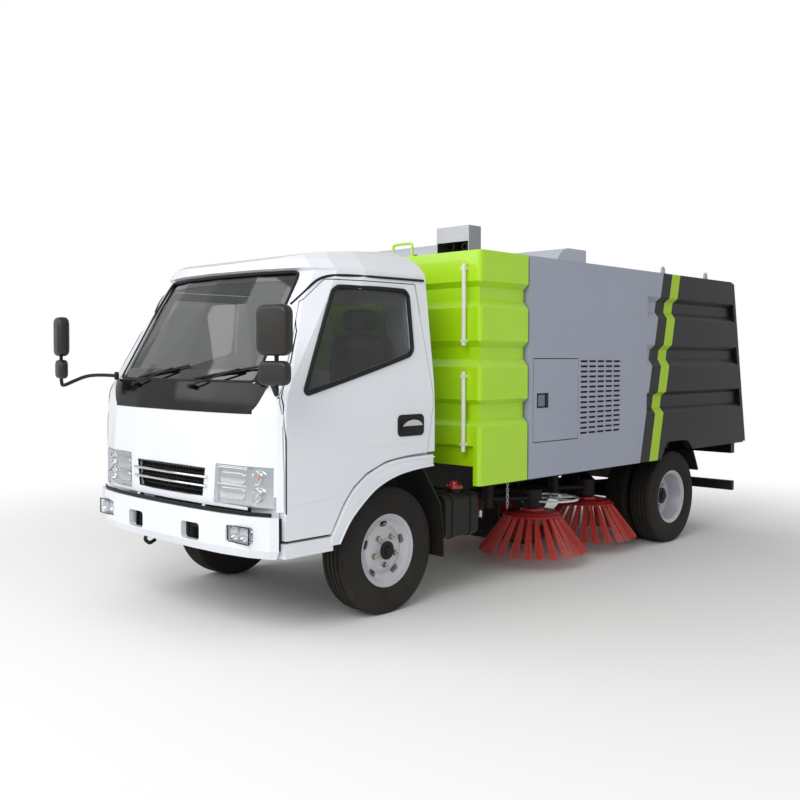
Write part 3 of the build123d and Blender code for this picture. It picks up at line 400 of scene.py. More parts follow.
@dataclass
class Paintbox:
    """Every finish, made once and looked up by name."""

    made: dict[str, bpy.types.Material] = field(default_factory=dict)
    finishes: tuple[Finish, ...] = (
        # Sprayed two-pack enamel on the cab: hard gloss, faint orange peel
        Finish("white_cab_enamel", "E9ECF1", "DFE3EA", 0.28, coat=0.7, dust=0.06),
        # Sprayed enamel on pressed sheet: bright lime
        Finish("lime_enamel", "B4E60A", "A6D808", 0.30, coat=0.6, dust=0.14),
        # Blue-grey enamel with the charcoal tail and the stripe sprayed over it
        SlantedPaint(
            "grey_and_charcoal_enamel", "A2A8B8", "9AA0B0", 0.36, coat=0.08, dust=0.06, specular=0.3,
        ),
        Finish("grey_roof_enamel", "BFC4CC", "B2B8C2", 0.36, coat=0.4),
        Finish("charcoal_enamel", "101216", "14161B", 0.36, coat=0.08, dust=0.06, specular=0.3),
        # Chassis black: thin satin coat that holds dust
        Finish(
            "chassis_black", "0C0C0D", "131314", 0.55, grain=Grain.MOULD, pitch_mm=14, relief=0.08, dust=0.10,
            specular=0.3,
        ),
        # Natural-black tyre rubber, moulded
        Finish(
            "tyre_rubber", "121212", "191817", 0.80, grain=Grain.MOULD, pitch_mm=4, relief=0.08, dust=0.12,
            specular=0.3,
        ),
        # Silver wheel lacquer over pressed steel
        Finish("wheel_silver", "C9CBD0", "B8BABF", 0.34, metal=0.4, dust=0.06),
        Finish("zinc_brass_nut", "B79A5A", "8E7440", 0.35, metal=0.9, grain=Grain.NONE),
        # Brushed stainless sheet
        Finish(
            "brushed_stainless", "B4B6B8", "8F9194", 0.30, metal=0.95, grain=Grain.BRUSH, pitch_mm=2.5,
            relief=0.12,
        ),
        # Chrome-plated plastic
        Finish("chrome_plate", "E4E6E8", "D5D8DB", 0.08, metal=1.0, grain=Grain.NONE),
        # Piano-black moulding
        Finish("gloss_black", "040405", "060608", 0.14, coat=0.05, grain=Grain.NONE, specular=0.3),
        # Grained black ABS and rubber trim
        Finish(
            "black_trim", "0C0C0D", "121213", 0.55, grain=Grain.MOULD, pitch_mm=3, relief=0.1, specular=0.35,
        ),
        Finish("mirror_shell", "1B1816", "231F1C", 0.40, grain=Grain.MOULD, pitch_mm=2.5, relief=0.08),
        Finish("mirror_silvering", "C9D2D8", "B8C2C9", 0.04, metal=1.0, grain=Grain.NONE),
        # Polypropylene bristles, extruded red
        Finish("red_bristle", "D8403A", "B92A26", 0.5, grain=Grain.NONE, dust=0.25),
        Finish("red_disc_enamel", "C2161D", "A51218", 0.4, coat=0.3, dust=0.2),
        Finish("cream_gauge", "E9E7DC", "DAD8CC", 0.25, coat=0.4, grain=Grain.NONE),
        Finish("amber_lens", "F08A1C", "E07812", 0.15, coat=0.6, grain=Grain.NONE),
        Finish("red_lens", "A60F12", "8E0C10", 0.15, coat=0.6, grain=Grain.NONE),
        Finish("lamp_reflector", "D9DDE0", "C3C8CC", 0.12, metal=0.95, grain=Grain.NONE),
        # Woven seat cloth with a gloss
        Finish("seat_cloth", "4A4541", "5C5650", 0.45, coat=0.7, grain=Grain.WEAVE, pitch_mm=3, relief=0.2),
        Finish("dash_plastic", "5B5D5F", "6A6C6E", 0.6, grain=Grain.MOULD, pitch_mm=2, relief=0.1),
        Finish("machinery_grey", "7D8288", "696E74", 0.45, metal=0.2, dust=0.3),
        ClearPane("safety_glass", "151A1B", "1C2223", 0.03, see=0.40),
        ClearPane("windscreen_glass", "1A1F20", "242A2A", 0.03, see=0.52, printed=True),
        ClearPane("lamp_lens", "C8CED2", "D8DDE0", 0.04, see=0.16),
    )

    def get(self, name: str) -> bpy.types.Material:
        """Looks a material up, making it on first use.

        Args:
            name: The finish's name.

        Returns:
            The material.
        """
        if name not in self.made:
            self.made[name] = next(f for f in self.finishes if f.name == name).build()
        return self.made[name]


@dataclass
class Stage:
    """The floor, the lights and the camera."""

    focal_px: float = 950.33
    centre_px: tuple[float, float] = (386.84, 393.46)
    yaw: float = 44.6
    pitch: float = -2.07
    roll: float = 0.12
    eye: Point = (4827, -4058, 1536)
    sensor_mm: float = 36.0
    aim: Point = (0, 0, 0.9)
    lamps: tuple[tuple[str, Point, float, float], ...] = (
        ("key_lamp", (3.6, -8.4, 6.2), 5.0, 370),
        ("fill_lamp", (-3.0, -7.0, 5.0), 6.0, 190),
    )

    def build(self) -> None:
        """Makes the whole stage."""
        self.camera()
        self.floor()
        self.lights()

    def camera(self) -> None:
        """Puts the camera where the photograph was taken."""
        data = bpy.data.cameras.new("photo_camera")
        data.sensor_width = self.sensor_mm
        data.sensor_fit = "HORIZONTAL"
        data.lens = self.focal_px / PHOTO_PX * self.sensor_mm
        data.shift_x = (PHOTO_PX / 2 - self.centre_px[0]) / PHOTO_PX
        data.shift_y = (self.centre_px[1] - PHOTO_PX / 2) / PHOTO_PX
        data.clip_end = 100.0
        data.dof.use_dof = False
        camera = bpy.data.objects.new("photo_camera", data)
        bpy.context.scene.collection.objects.link(camera)
        yaw, pitch, roll = (math.radians(v) for v in (self.yaw, self.pitch, self.roll))
        ahead = Vector((-math.sin(yaw) * math.cos(pitch), math.cos(yaw) * math.cos(pitch), math.sin(pitch)))
        right = Vector((math.cos(yaw), math.sin(yaw), 0))
        up = right.cross(ahead)
        right, up = (
            right * math.cos(roll) + up * math.sin(roll), up * math.cos(roll) - right * math.sin(roll),
        )
        turn = Matrix((right, up, -ahead)).transposed().to_4x4()
        camera.matrix_world = Matrix.Translation(at(*self.eye)) @ turn
        bpy.context.scene.camera = camera

    def floor(self) -> None:
        """Lays a plain pale floor."""
        bpy.ops.mesh.primitive_plane_add(size=60, location=(0, 0, 0))
        plane = bpy.context.object
        plane.name = "studio_floor"
        made, tree, shader = blank("pale_studio_floor")
        shader.inputs["Base Color"].default_value = linear("EFEFEF")
        shader.inputs["Roughness"].default_value = 0.85
        away = node(
            tree, "ShaderNodeVectorMath", {"operation": "LENGTH"},
            n_0=node(tree, "ShaderNodeTexCoord").outputs["Object"],
        )
        fade = node(
            tree, "ShaderNodeMapRange", {"interpolation_type": "SMOOTHSTEP"}, Value=away.outputs["Value"],
            From_Min=2.2, From_Max=6.5,
        )
        seen = maths(
            tree, "MULTIPLY", fade.outputs[0], node(tree, "ShaderNodeLightPath").outputs["Is Camera Ray"],
        )
        white = node(tree, "ShaderNodeEmission", Color=(1, 1, 1, 1), Strength=1.0)
        mixed = node(tree, "ShaderNodeMixShader", n_0=seen, n_1=shader.outputs[0], n_2=white.outputs[0])
        tree.links.new(mixed.outputs[0], tree.nodes["Material Output"].inputs["Surface"])
        plane.data.materials.append(made)

    def lights(self) -> None:
        """Hangs two soft lamps in a white world."""
        world = bpy.data.worlds.new("studio_world")
        bpy.context.scene.world = world
        world.use_nodes = True
        tree = world.node_tree
        tree.nodes.clear()
        path = node(tree, "ShaderNodeLightPath")
        seen = maths(tree, "MAXIMUM", path.outputs["Is Camera Ray"], path.outputs["Is Transmission Ray"])
        level = node(
            tree, "ShaderNodeMapRange", Value=seen, From_Min=0.0, From_Max=1.0, To_Min=0.60, To_Max=1.0,
        )
        sky = node(tree, "ShaderNodeBackground", Color=(1, 1, 1, 1), Strength=level.outputs[0])
        node(tree, "ShaderNodeOutputWorld", Surface=sky.outputs[0])
        for name, place, size, power in self.lamps:
            data = bpy.data.lights.new(name, "AREA")
            data.size = size
            data.energy = power
            lamp = bpy.data.objects.new(name, data)
            lamp.location = place
            lamp.rotation_euler = (Vector(self.aim) - Vector(place)).to_track_quat("-Z", "Y").to_euler()
            bpy.context.scene.collection.objects.link(lamp)
        bpy.context.scene.view_settings.view_transform = "Standard"


@dataclass
class CarriedSolids:
    """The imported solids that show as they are, and the finish each one gets."""

    paints: Paintbox
    nodes: dict[str, Piece]
    dress: dict[str, str] = field(
        default_factory=lambda: {
            "cab_shell": "white_cab_enamel",
            "door_left": "white_cab_enamel",
            "door_right": "white_cab_enamel",
            "front_bumper": "white_cab_enamel",
            "cowl_panel": "gloss_black",
            "cab_glass": "windscreen_glass",
            "door_glass_left": "safety_glass",
            "door_glass_right": "safety_glass",
            "grille": "black_trim",
            "headlamps": "lamp_lens",
            "fog_lamps": "lamp_lens",
            "mirrors": "mirror_shell",
            "dashboard": "dash_plastic",
            "seats": "seat_cloth",
            "water_tank": "lime_enamel",
            "lifting_eyes_front": "lime_enamel",
            "lifting_eyes_rear": "grey_roof_enamel",
            "level_gauges": "cream_gauge",
            "intake_cowl": "brushed_stainless",
            "engine_cover": "grey_and_charcoal_enamel",
            "service_door_left": "grey_and_charcoal_enamel",
            "service_door_right": "grey_and_charcoal_enamel",
            "roof_hoods": "grey_roof_enamel",
            "dust_hopper": "grey_and_charcoal_enamel",
            "tail_door": "charcoal_enamel",
            "tail_lamps": "red_lens",
            "rim_front_left": "wheel_silver",
            "rim_front_right": "wheel_silver",
            "rim_rear_left": "wheel_silver",
            "rim_rear_right": "wheel_silver",
            "tip_rods": "chrome_plate",
            "auxiliary_engine": "machinery_grey",
        }
    )

    def build(self) -> None:
        """Gives each carried solid its finish."""
        for name, solid in self.nodes.items():
            finish = self.dress.get(
                name,
                "tyre_rubber" if "tyre" in name else "red_bristle" if "brush" in name else "chassis_black",
            )
            if solid.data.materials:
                for index in range(len(solid.material_slots)):
                    solid.material_slots[index].material = self.paints.get(finish)
            else:
                solid.data.materials.append(self.paints.get(finish))
            LOG.info("solid %s wears %s", name, finish)


@dataclass
class Workbench:
    """Makes pieces with Blender's modelling operators and hands them over finished."""

    paints: Paintbox
    frame: dict
    trees: dict[str, BVHTree] = field(default_factory=dict)

    def clear(self) -> None:
        """Deselects everything."""
        bpy.ops.object.select_all(action="DESELECT")

    def pick(self, piece: Piece) -> None:
        """Selects one piece and makes it active.

        Args:
            piece: The piece.
        """
        self.clear()
        piece.select_set(True)
        bpy.context.view_layer.objects.active = piece

    def bevel(self, piece: Piece, width: float, segments: int = 2) -> None:
        """Rounds a piece's edges.

        Args:
            piece: The piece.
            width: The bevel's width in metres.
            segments: How many facets the round has.
        """
        self.modify(piece, "BEVEL", width=width, segments=segments, limit_method="ANGLE")

    def modify(self, piece: Piece, kind: str, **settings: object) -> None:
        """Adds one modifier and applies it.

        Args:
            piece: The piece.
            kind: Blender's modifier type.
            **settings: The modifier's attributes.
        """
        self.pick(piece)
        mod = piece.modifiers.new("shaping", kind)
        for key, value in settings.items():
            setattr(mod, key, value)
        bpy.ops.object.modifier_apply(modifier=mod.name)

    @contextmanager
    def editing(self, piece: Piece) -> Iterator[None]:
        """Opens a piece in edit mode, all of it selected, and closes it again.

        Args:
            piece: The piece.

        Yields:
            Nothing, while the piece is open.
        """
        self.pick(piece)
        bpy.ops.object.mode_set(mode="EDIT")
        bpy.ops.mesh.select_all(action="SELECT")
        yield
        bpy.ops.object.mode_set(mode="OBJECT")

    def raw(self, places: list[Vector], edges: list[tuple[int, int]], faces: list) -> Piece:
        """Makes an unfinished mesh from places.

        Args:
            places: Its vertices.
            edges: Its loose edges.
            faces: Its faces.

        Returns:
            The mesh's piece, picked.
        """
        mesh = bpy.data.meshes.new("raw")
        mesh.from_pydata(places, edges, faces)
        piece = bpy.data.objects.new("raw", mesh)
        bpy.context.scene.collection.objects.link(piece)
        self.pick(piece)
        return piece

    def block(self, low: Vector, high: Vector, bevel: float = 0.002, segments: int = 2) -> Piece:
        """Makes a rounded block.

        Args:
            low: Its lowest corner.
            high: Its highest corner.
            bevel: The round on its edges, in metres.
            segments: Facets of the round.

        Returns:
            The block.
        """
        self.clear()
        bpy.ops.mesh.primitive_cube_add(size=1, location=(low + high) / 2)
        piece = bpy.context.object
        piece.scale = [abs(v) for v in high - low]
        bpy.ops.object.transform_apply(location=True, rotation=True, scale=True)
        if bevel:
            self.bevel(piece, bevel, segments)
        return piece

    def slab(self, side: Side, x: Flat, y: Flat, z: Flat, bevel: float = 0.002, segments: int = 2) -> Piece:
        """Makes a rounded block on one side of the truck.

        Args:
            side: The truck's left or right side.
            x: Its inner and outer face, from the middle, in millimetres.
            y: Its front and back.
            z: Its bottom and top.
            bevel: The round on its edges, in metres.
            segments: Facets of the round.

        Returns:
            The block.
        """
        low, high = sorted(side.sign * v for v in x)
        return self.block(at(low, y[0], z[0]), at(high, y[1], z[1]), bevel, segments)

    def rod(
        self, start: Vector, end: Vector, radius: float, sides: int = 20, bevel: float = 0.001,
        tip: float | None = None,
    ) -> Piece:
        """Makes a rounded rod or cone between two places.

        Args:
            start: One end's centre.
            end: The other end's centre.
            radius: Radius in metres at the start.
            sides: Facets around it.
            bevel: The round on its ends.
            tip: Radius at the end, if it differs.

        Returns:
            The rod.
        """
        self.clear()
        way = end - start
        bpy.ops.mesh.primitive_cone_add(
            vertices=sides, radius1=radius, radius2=radius if tip is None else tip, depth=way.length,
            location=(start + end) / 2, rotation=way.to_track_quat("Z", "Y").to_euler(),
        )
        piece = bpy.context.object
        bpy.ops.object.transform_apply(location=True, rotation=True, scale=True)
        if bevel:
            self.bevel(piece, bevel, 2)
        return piece

    def lathe(self, profile: list[Flat], centre: Vector, axis: Vector, steps: int = 64) -> Piece:
        """Turns a closed profile about an axis.

        Args:
            profile: Pairs of radius and distance along the axis, in metres.
            centre: A place on the axis.
            axis: The axis's direction.
            steps: Facets round the axis.

        Returns:
            The turned piece.
        """
        along = axis.normalized()
        out = along.orthogonal().normalized()
        count = len(profile)
        places = [centre + out * r + along * h for r, h in profile]
        piece = self.raw(places, [(i, (i + 1) % count) for i in range(count)], [])
        with self.editing(piece):
            bpy.ops.mesh.spin(steps=steps, angle=2 * math.pi, center=centre, axis=along)
            bpy.ops.mesh.select_all(action="SELECT")
            bpy.ops.mesh.remove_doubles(threshold=0.00002)
            bpy.ops.mesh.normals_make_consistent(inside=False)
        return piece

    def tube(
        self, points: list[Vector], radius: float, closed: bool = False, smooth: bool = True, sides: int = 3,
    ) -> Piece:
        """Draws a tube through places.

        Args:
            points: The places it follows.
            radius: Its radius in metres.
            closed: Whether it is a ring.
            smooth: Whether it curves between the places.
            sides: Blender's bevel resolution.

        Returns:
            The tube as a mesh.
        """
        self.clear()
        curve = bpy.data.curves.new("run", "CURVE")
        curve.dimensions = "3D"
        curve.bevel_depth = radius
        curve.bevel_resolution = sides
        curve.resolution_u = 6
        curve.use_fill_caps = True
        line = curve.splines.new("NURBS" if smooth else "POLY")
        line.points.add(len(points) - 1)
        for knot, place in zip(line.points, points):
            knot.co = (*place, 1)
        line.use_cyclic_u = closed
        if smooth:
            line.order_u = 3
            line.use_endpoint_u = not closed
        piece = bpy.data.objects.new("run", curve)
        bpy.context.scene.collection.objects.link(piece)
        self.pick(piece)
        bpy.ops.object.convert(target="MESH")
        return bpy.context.object

    def plate(self, corners: list[Vector], depth: Vector, bevel: float = 0.0) -> Piece:
        """Extrudes a flat outline.

        Args:
            corners: The outline's places, in order.
            depth: How far and which way it is pushed.
            bevel: The round on its edges.

        Returns:
            The plate.
        """
        piece = self.raw(corners, [], [list(range(len(corners)))])
        with self.editing(piece):
            bpy.ops.mesh.extrude_region_move(TRANSFORM_OT_translate={"value": depth})
            bpy.ops.mesh.select_all(action="SELECT")
            bpy.ops.mesh.normals_make_consistent(inside=False)
        if bevel:
            self.bevel(piece, bevel, 2)
        return piece

    def pebble(
        self, width: float, height: float, depth: float, corner: float, bevel: float, move: Matrix,
    ) -> Piece:
        """Makes a moulded housing with round corners, its face looking along -Y.

        Args:
            width: Its size across.
            height: Its size up.
            depth: Its size front to back.
            corner: The radius of its four corners.
            bevel: The round between face and rim.
            move: Where it goes.

        Returns:
            The housing.
        """
        path = []
        for right, up, start in ((1, 1, 0), (-1, 1, 90), (-1, -1, 180), (1, -1, 270)):
            for i in range(6):
                turn = math.radians(start + 18 * i)
                x = right * (width / 2 - corner) + corner * math.cos(turn)
                path.append(Vector((x, -depth / 2, up * (height / 2 - corner) + corner * math.sin(turn))))
        piece = self.plate(path, Vector((0, depth, 0)))
        self.bevel(piece, bevel, 4)
        piece.data.transform(move)
        return piece

    def cushion(self, low: Vector, high: Vector, channels: tuple[float, ...], crown: float = 5.0) -> Piece:
        """Makes a crowned foam pad with sewn channels across its width.

        Args:
            low: Its lowest corner.
            high: Its highest corner.
            channels: Where the seams lie across it, from -1 to 1.
            crown: How square it is: 2 is a ball, 10 nearly a block.

        Returns:
            The pad.
        """
        self.clear()
        bpy.ops.mesh.primitive_cube_add(size=2, location=(0, 0, 0))
        piece = bpy.context.object
        with self.editing(piece):
            bpy.ops.mesh.subdivide(number_cuts=19)
        middle, half = (low + high) / 2, (high - low) / 2
        for vertex in piece.data.vertices:
            place = vertex.co.copy()
            reach = sum(abs(v) ** crown for v in place) ** (1 / crown)
            seam = sum(math.exp(-(((place.x - c) / 0.045) ** 2)) for c in channels)
            edge = math.exp(-(((max(abs(place.y), abs(place.z)) - 1.0) / 0.2) ** 2))
            place *= 1 / reach
            place.y *= 1 - 0.07 * seam * edge
            place.z *= 1 - 0.05 * seam * edge
            vertex.co = middle + Vector((place.x * half.x, place.y * half.y, place.z * half.z))
        return piece

    def face_sheet(self, names: list[str], rows: list[Flat], cols: int, lift: float, wall: float) -> Piece:
        """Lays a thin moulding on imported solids, as seen from the front.

        Args:
            names: The solids it lies on.
            rows: Heights with the half width there, in millimetres, from the bottom up.
            cols: How many faces it has across.
            lift: How far in front of the surface it lies.
            wall: Its thickness.

        Returns:
            The moulding.
        """
        places, faces = [], []
        for z, half in rows:
            for i in range(cols + 1):
                x = -half + 2 * half * i / cols
                hit = self.met(names, x, z)
                places.append((hit or at(x, -900, z)) + Vector((0, -lift, 0)))
        for row in range(len(rows) - 1):
            for i in range(cols):
                a = row * (cols + 1) + i
                faces.append((a, a + 1, a + cols + 2, a + cols + 1))
        piece = self.raw(places, [], faces)
        self.modify(piece, "SOLIDIFY", thickness=wall, offset=0)
        return piece

    def copy(self, piece: Piece, move: Matrix) -> Piece:
        """Copies a piece with its own mesh.

        Args:
            piece: What is copied.
            move: Where the copy goes.

        Returns:
            The copy.
        """
        twin = piece.copy()
        twin.data = piece.data.copy()
        twin.data.transform(move)
        if move.determinant() < 0:
            twin.data.flip_normals()
        bpy.context.scene.collection.objects.link(twin)
        twin.hide_viewport = False
        twin.hide_render = False
        twin.hide_set(False)
        return twin

    def join(self, parts: list[Piece]) -> Piece:
        """Joins pieces into the first one.

        Args:
            parts: The pieces.

        Returns:
            The first piece, with the others in it.
        """
        self.clear()
        for part in parts:
            part.select_set(True)
        bpy.context.view_layer.objects.active = parts[0]
        if len(parts) > 1:
            bpy.ops.object.join()
        return parts[0]

    def solid_copy(self, name: str) -> Piece:
        """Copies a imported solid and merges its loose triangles.

        Args:
            name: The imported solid's name.

        Returns:
            The merged copy.
        """
        twin = self.copy(self.frame["nodes"][name], Matrix.Identity(4))
        twin.parent = None
        twin.matrix_world = Matrix.Identity(4)
        twin.data.materials.clear()
        with self.editing(twin):
            bpy.ops.mesh.remove_doubles(threshold=0.00005)
        return twin

    def skin(self, names: list[str], start: Vector, way: Vector) -> Vector | None:
        """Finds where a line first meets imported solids.

        Args:
            names: The solids looked at.
            start: Where the line starts.
            way: Its direction.

        Returns:
            The nearest place met, or None.
        """
        best = None
        for name in names:
            if name not in self.trees:
                mesh = self.frame["nodes"][name].data
                self.trees[name] = BVHTree.FromPolygons(
                    [v.co for v in mesh.vertices], [p.vertices for p in mesh.polygons],
                )
            place = self.trees[name].ray_cast(start, way.normalized())[0]
            if place and (best is None or (place - start).length < (best - start).length):
                best = place
        return best

    def met(self, names: list[str], x: float, z: float) -> Vector | None:
        """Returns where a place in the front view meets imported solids."""
        return self.skin(names, at(x, AHEAD, z), BACKWARD)

    def flank_run(
        self, names: list[str], side: Side, points: list[Flat] | tuple[Flat, ...], lift: float,
    ) -> list[Vector]:
        """Lays side-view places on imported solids.

        Args:
            names: The solids they lie on.
            side: The truck's left or right side.
            points: The places, along and up, in millimetres.
            lift: How far outside the surface they lie, in metres.

        Returns:
            The places that met a solid.
        """
        hits = (self.skin(names, side.at(BESIDE, y, z), Vector((-side.sign, 0, 0))) for y, z in points)
        return [hit + side.outward * lift for hit in hits if hit]

    def done(
        self, made: Piece | list[Piece], name: str, finish: str, body: str, slot: str, angle: float = 35,
    ) -> Piece:
        """Joins, names, paints and mounts a piece.

        Args:
            made: The finished mesh, or the meshes that it is joined from.
            name: Its name.
            finish: The finish it wears.
            body: The body it moves with.
            slot: The record's material slot; not used.
            angle: Edges sharper than this stay sharp, in degrees.

        Returns:
            The finished piece.
        """
        piece = self.join(made) if isinstance(made, list) else made
        self.pick(piece)
        bpy.ops.object.transform_apply(location=True, rotation=True, scale=True)
        piece.name = name
        piece.data.name = name
        piece.data.materials.clear()
        piece.data.materials.append(self.paints.get(finish))
        bpy.ops.object.shade_smooth_by_angle(angle=math.radians(angle))
        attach(piece, body)
        LOG.info("piece %s on %s: %d faces", name, body, len(piece.data.polygons))
        return piece


@dataclass(frozen=True)
class Hub:
    """Where one axle's nuts, hub cap and rim lip sit, from the middle, in millimetres."""

    end: str
    y: float
    nuts: float
    cap: float
    cap_radius: float
    lip: float


@dataclass
class RoadWheels:
    """Ribbed tyres in place of the plain solids, with nuts and hub caps on the rims."""

    bench: Workbench
    radius: float = 0.383
    bead: float = 0.205
    rib_edges: tuple[float, ...] = (-0.050, -0.017, 0.017, 0.050)
    groove: float = 0.011
    front: float = 753
    twins: Flat = (617, 849)
    stud_circle: float = 92
    hubs: tuple[Hub, ...] = (
        Hub("front", 0, 809, 827.4, 0.056, 829),
        Hub("rear", WHEELBASE, 793, 843.4, 0.068, 925),
    )

    def profile(self) -> list[Flat]:
        """Draws the tyre's section with four tread grooves.

        Returns:
            Pairs of radius and distance across, in metres.
        """
        wall = [
            (self.bead, -0.074), (0.232, -0.090), (0.290, -0.099), (0.335, -0.0975),
            (0.352, -0.093), (0.356, -0.0925), (0.366, -0.088), (0.379, -0.083),
        ]
        floor = self.radius - self.groove
        path = list(wall)
        for edge in self.rib_edges:
            path += [
                (self.radius, edge - 0.006), (floor, edge - 0.0045), (floor, edge + 0.0045),
                (self.radius, edge + 0.006),
            ]
        return path + [(r, -h) for r, h in reversed(wall)]

    def build(self) -> None:
        """Makes every tyre and dresses the rims."""
        for side in SIDES:
            front = self.bench.done(
                self.tyre(side, self.front, 0), f"ribbed_tyre_front_{side.tag}", "tyre_rubber",
                f"front_wheel_{side.tag}", "tyre_rubber", 28,
            )
            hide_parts(f"tyre_front_{side.tag}")
            twins = [self.tyre(side, x, WHEELBASE) for x in self.twins]
            pair = self.bench.done(
                twins, f"ribbed_tyres_rear_{side.tag}", "tyre_rubber", f"rear_wheel_{side.tag}",
                "tyre_rubber", 28,
            )
            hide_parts(f"tyres_rear_{side.tag}")
            for hub in self.hubs:
                self.nuts(side, hub)
            for hub in self.hubs:
                self.hub_cap(side, hub)

    def tyre(self, side: Side, x: float, y: float) -> Piece:
        """Returns one tyre, its middle x from the truck's middle and y behind the front axle."""
        return self.bench.lathe(self.profile(), side.at(x, y, HUB_HEIGHT), side.outward, 96)

    def hub_cap(self, side: Side, hub: Hub) -> None:
        """Closes a hub with a black cap and edges the rim with a bright lip.

        Args:
            side: The truck's left or right side.
            hub: The axle's hub.
        """
        r = hub.cap_radius
        section = [
            (0.0005, 0.0), (r, 0.0), (r, 0.006), (r * 0.84, 0.012), (r * 0.56, 0.014), (r * 0.5, 0.028),
            (0.0005, 0.031),
        ]
        cap = self.bench.lathe(section, side.at(hub.cap, hub.y, HUB_HEIGHT), side.outward, 40)
        self.bench.done(
            cap, f"hub_cap_{hub.end}_{side.tag}", "black_trim", f"{hub.end}_wheel_{side.tag}",
            "chassis_black",
        )
        lip = [
            (0.2195, 0.0), (0.2225, 0.002), (0.2225, 0.007), (0.2195, 0.009), (0.2165, 0.007),
            (0.2165, 0.002),
        ]
        ring = self.bench.lathe(lip, side.at(hub.lip, hub.y, HUB_HEIGHT), side.outward, 80)
        self.bench.done(
            ring, f"rim_lip_{hub.end}_{side.tag}", "wheel_silver", f"{hub.end}_wheel_{side.tag}",
            "wheel_silver",
        )

    def nuts(self, side: Side, hub: Hub) -> None:
        """Sets five wheel nuts with washers round a hub.

        Args:
            side: The truck's left or right side.
            hub: The axle's hub.
        """
        parts = []
        for turn in range(5):
            angle = math.radians(54 + 72 * turn)
            y, z = hub.y + self.stud_circle * math.cos(angle), HUB_HEIGHT + self.stud_circle * math.sin(angle)
            # Washer, nut and stud: inner end, outer end, radius, sides and round
            for inner, outer, radius, sides, bevel in (
                (-2, 5, 0.0185, 20, 0.001), (4, 20, 0.015, 6, 0.0012), (19, 27, 0.007, 12, 0.0008),
            ):
                near, far = side.at(hub.nuts + inner, y, z), side.at(hub.nuts + outer, y, z)
                parts.append(self.bench.rod(near, far, radius, sides, bevel))
        self.bench.done(
            parts, f"wheel_nuts_{hub.end}_{side.tag}", "zinc_brass_nut", f"{hub.end}_wheel_{side.tag}",
            "wheel_silver",
        )


@dataclass
class SweepingBrushes:
    """Bundles of bristles under flanged discs, in place of the plain brush solids."""

    bench: Workbench
    tufts: int = 24
    strands: int = 30
    tip: float = 0.402
    root: float = 0.196
    top: float = 0.372
    low: float = 0.095
    places: tuple[tuple[str, float, float], ...] = (("front", 600, 1795), ("rear", 545, 2610))

    def bundle(self) -> Piece:
        """Makes one tuft of splayed strands, pointing along +X from the disc's rim.

        Returns:
            The tuft about the brush's own axis.
        """
        parts = []
        for i in range(self.strands):
            u = (i % 6) / 5 - 0.5
            v = (i // 6) / 4 - 0.5
            wobble = math.sin(i * 2.4) * 0.004
            start = Vector((self.root + v * 0.014, u * 0.016, self.top))
            reach = self.tip - 0.012 + v * 0.022 + wobble
            height = self.low + 0.004 + abs(u) * 0.012 - v * 0.006 + abs(wobble)
            end = Vector((reach, u * 0.062 + wobble, height))
            parts.append(self.bench.rod(start, end, 0.0021, 4, 0, 0.0017))
        return self.bench.join(parts)

    def build(self) -> None:
        """Makes the four brushes from one tuft."""
        tuft = self.bundle()
        turns = [Matrix.Rotation(2 * math.pi * i / self.tufts, 4, "Z") for i in range(self.tufts)]
        ring = [
            self.bench.copy(tuft, turn @ Matrix.Rotation(math.sin(i * 1.7) * 0.02, 4, "Z"))
            for i, turn in enumerate(turns)
        ]
        bristles = self.bench.join(ring)
        section = [
            (0.03, 0.368), (0.224, 0.368), (0.224, 0.374), (0.205, 0.380), (0.190, 0.396), (0.110, 0.396),
            (0.090, 0.404), (0.086, 0.420), (0.03, 0.420),
        ]
        disc = self.bench.lathe(section, Vector((0, 0, 0)), UPWARD, 72)
        cup = self.bench.rod(Vector((0.188, 0, 0.352)), Vector((0.192, 0, 0.384)), 0.013, 12, 0.001)
        cups = self.bench.join([self.bench.copy(cup, turn) for turn in turns] + [cup])
        for where, x, y in self.places:
            for side in SIDES:
                move = Matrix.Translation(side.at(x, y, 0))
                body = f"sweep_brush_{where}_{side.tag}"
                hair = self.bench.done(
                    self.bench.copy(bristles, move), f"bristles_{where}_{side.tag}", "red_bristle", body,
                    "red_plastic",
                )
                plate = [self.bench.copy(disc, move), self.bench.copy(cups, move)]
                self.bench.done(
                    plate, f"brush_disc_{where}_{side.tag}", "red_disc_enamel", body, "red_plastic",
                )
                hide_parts(f"brush_{where}_{side.tag}")
        for spare in (tuft, bristles, disc, cups):
            if spare.name in bpy.data.objects:
                bpy.data.objects.remove(spare)


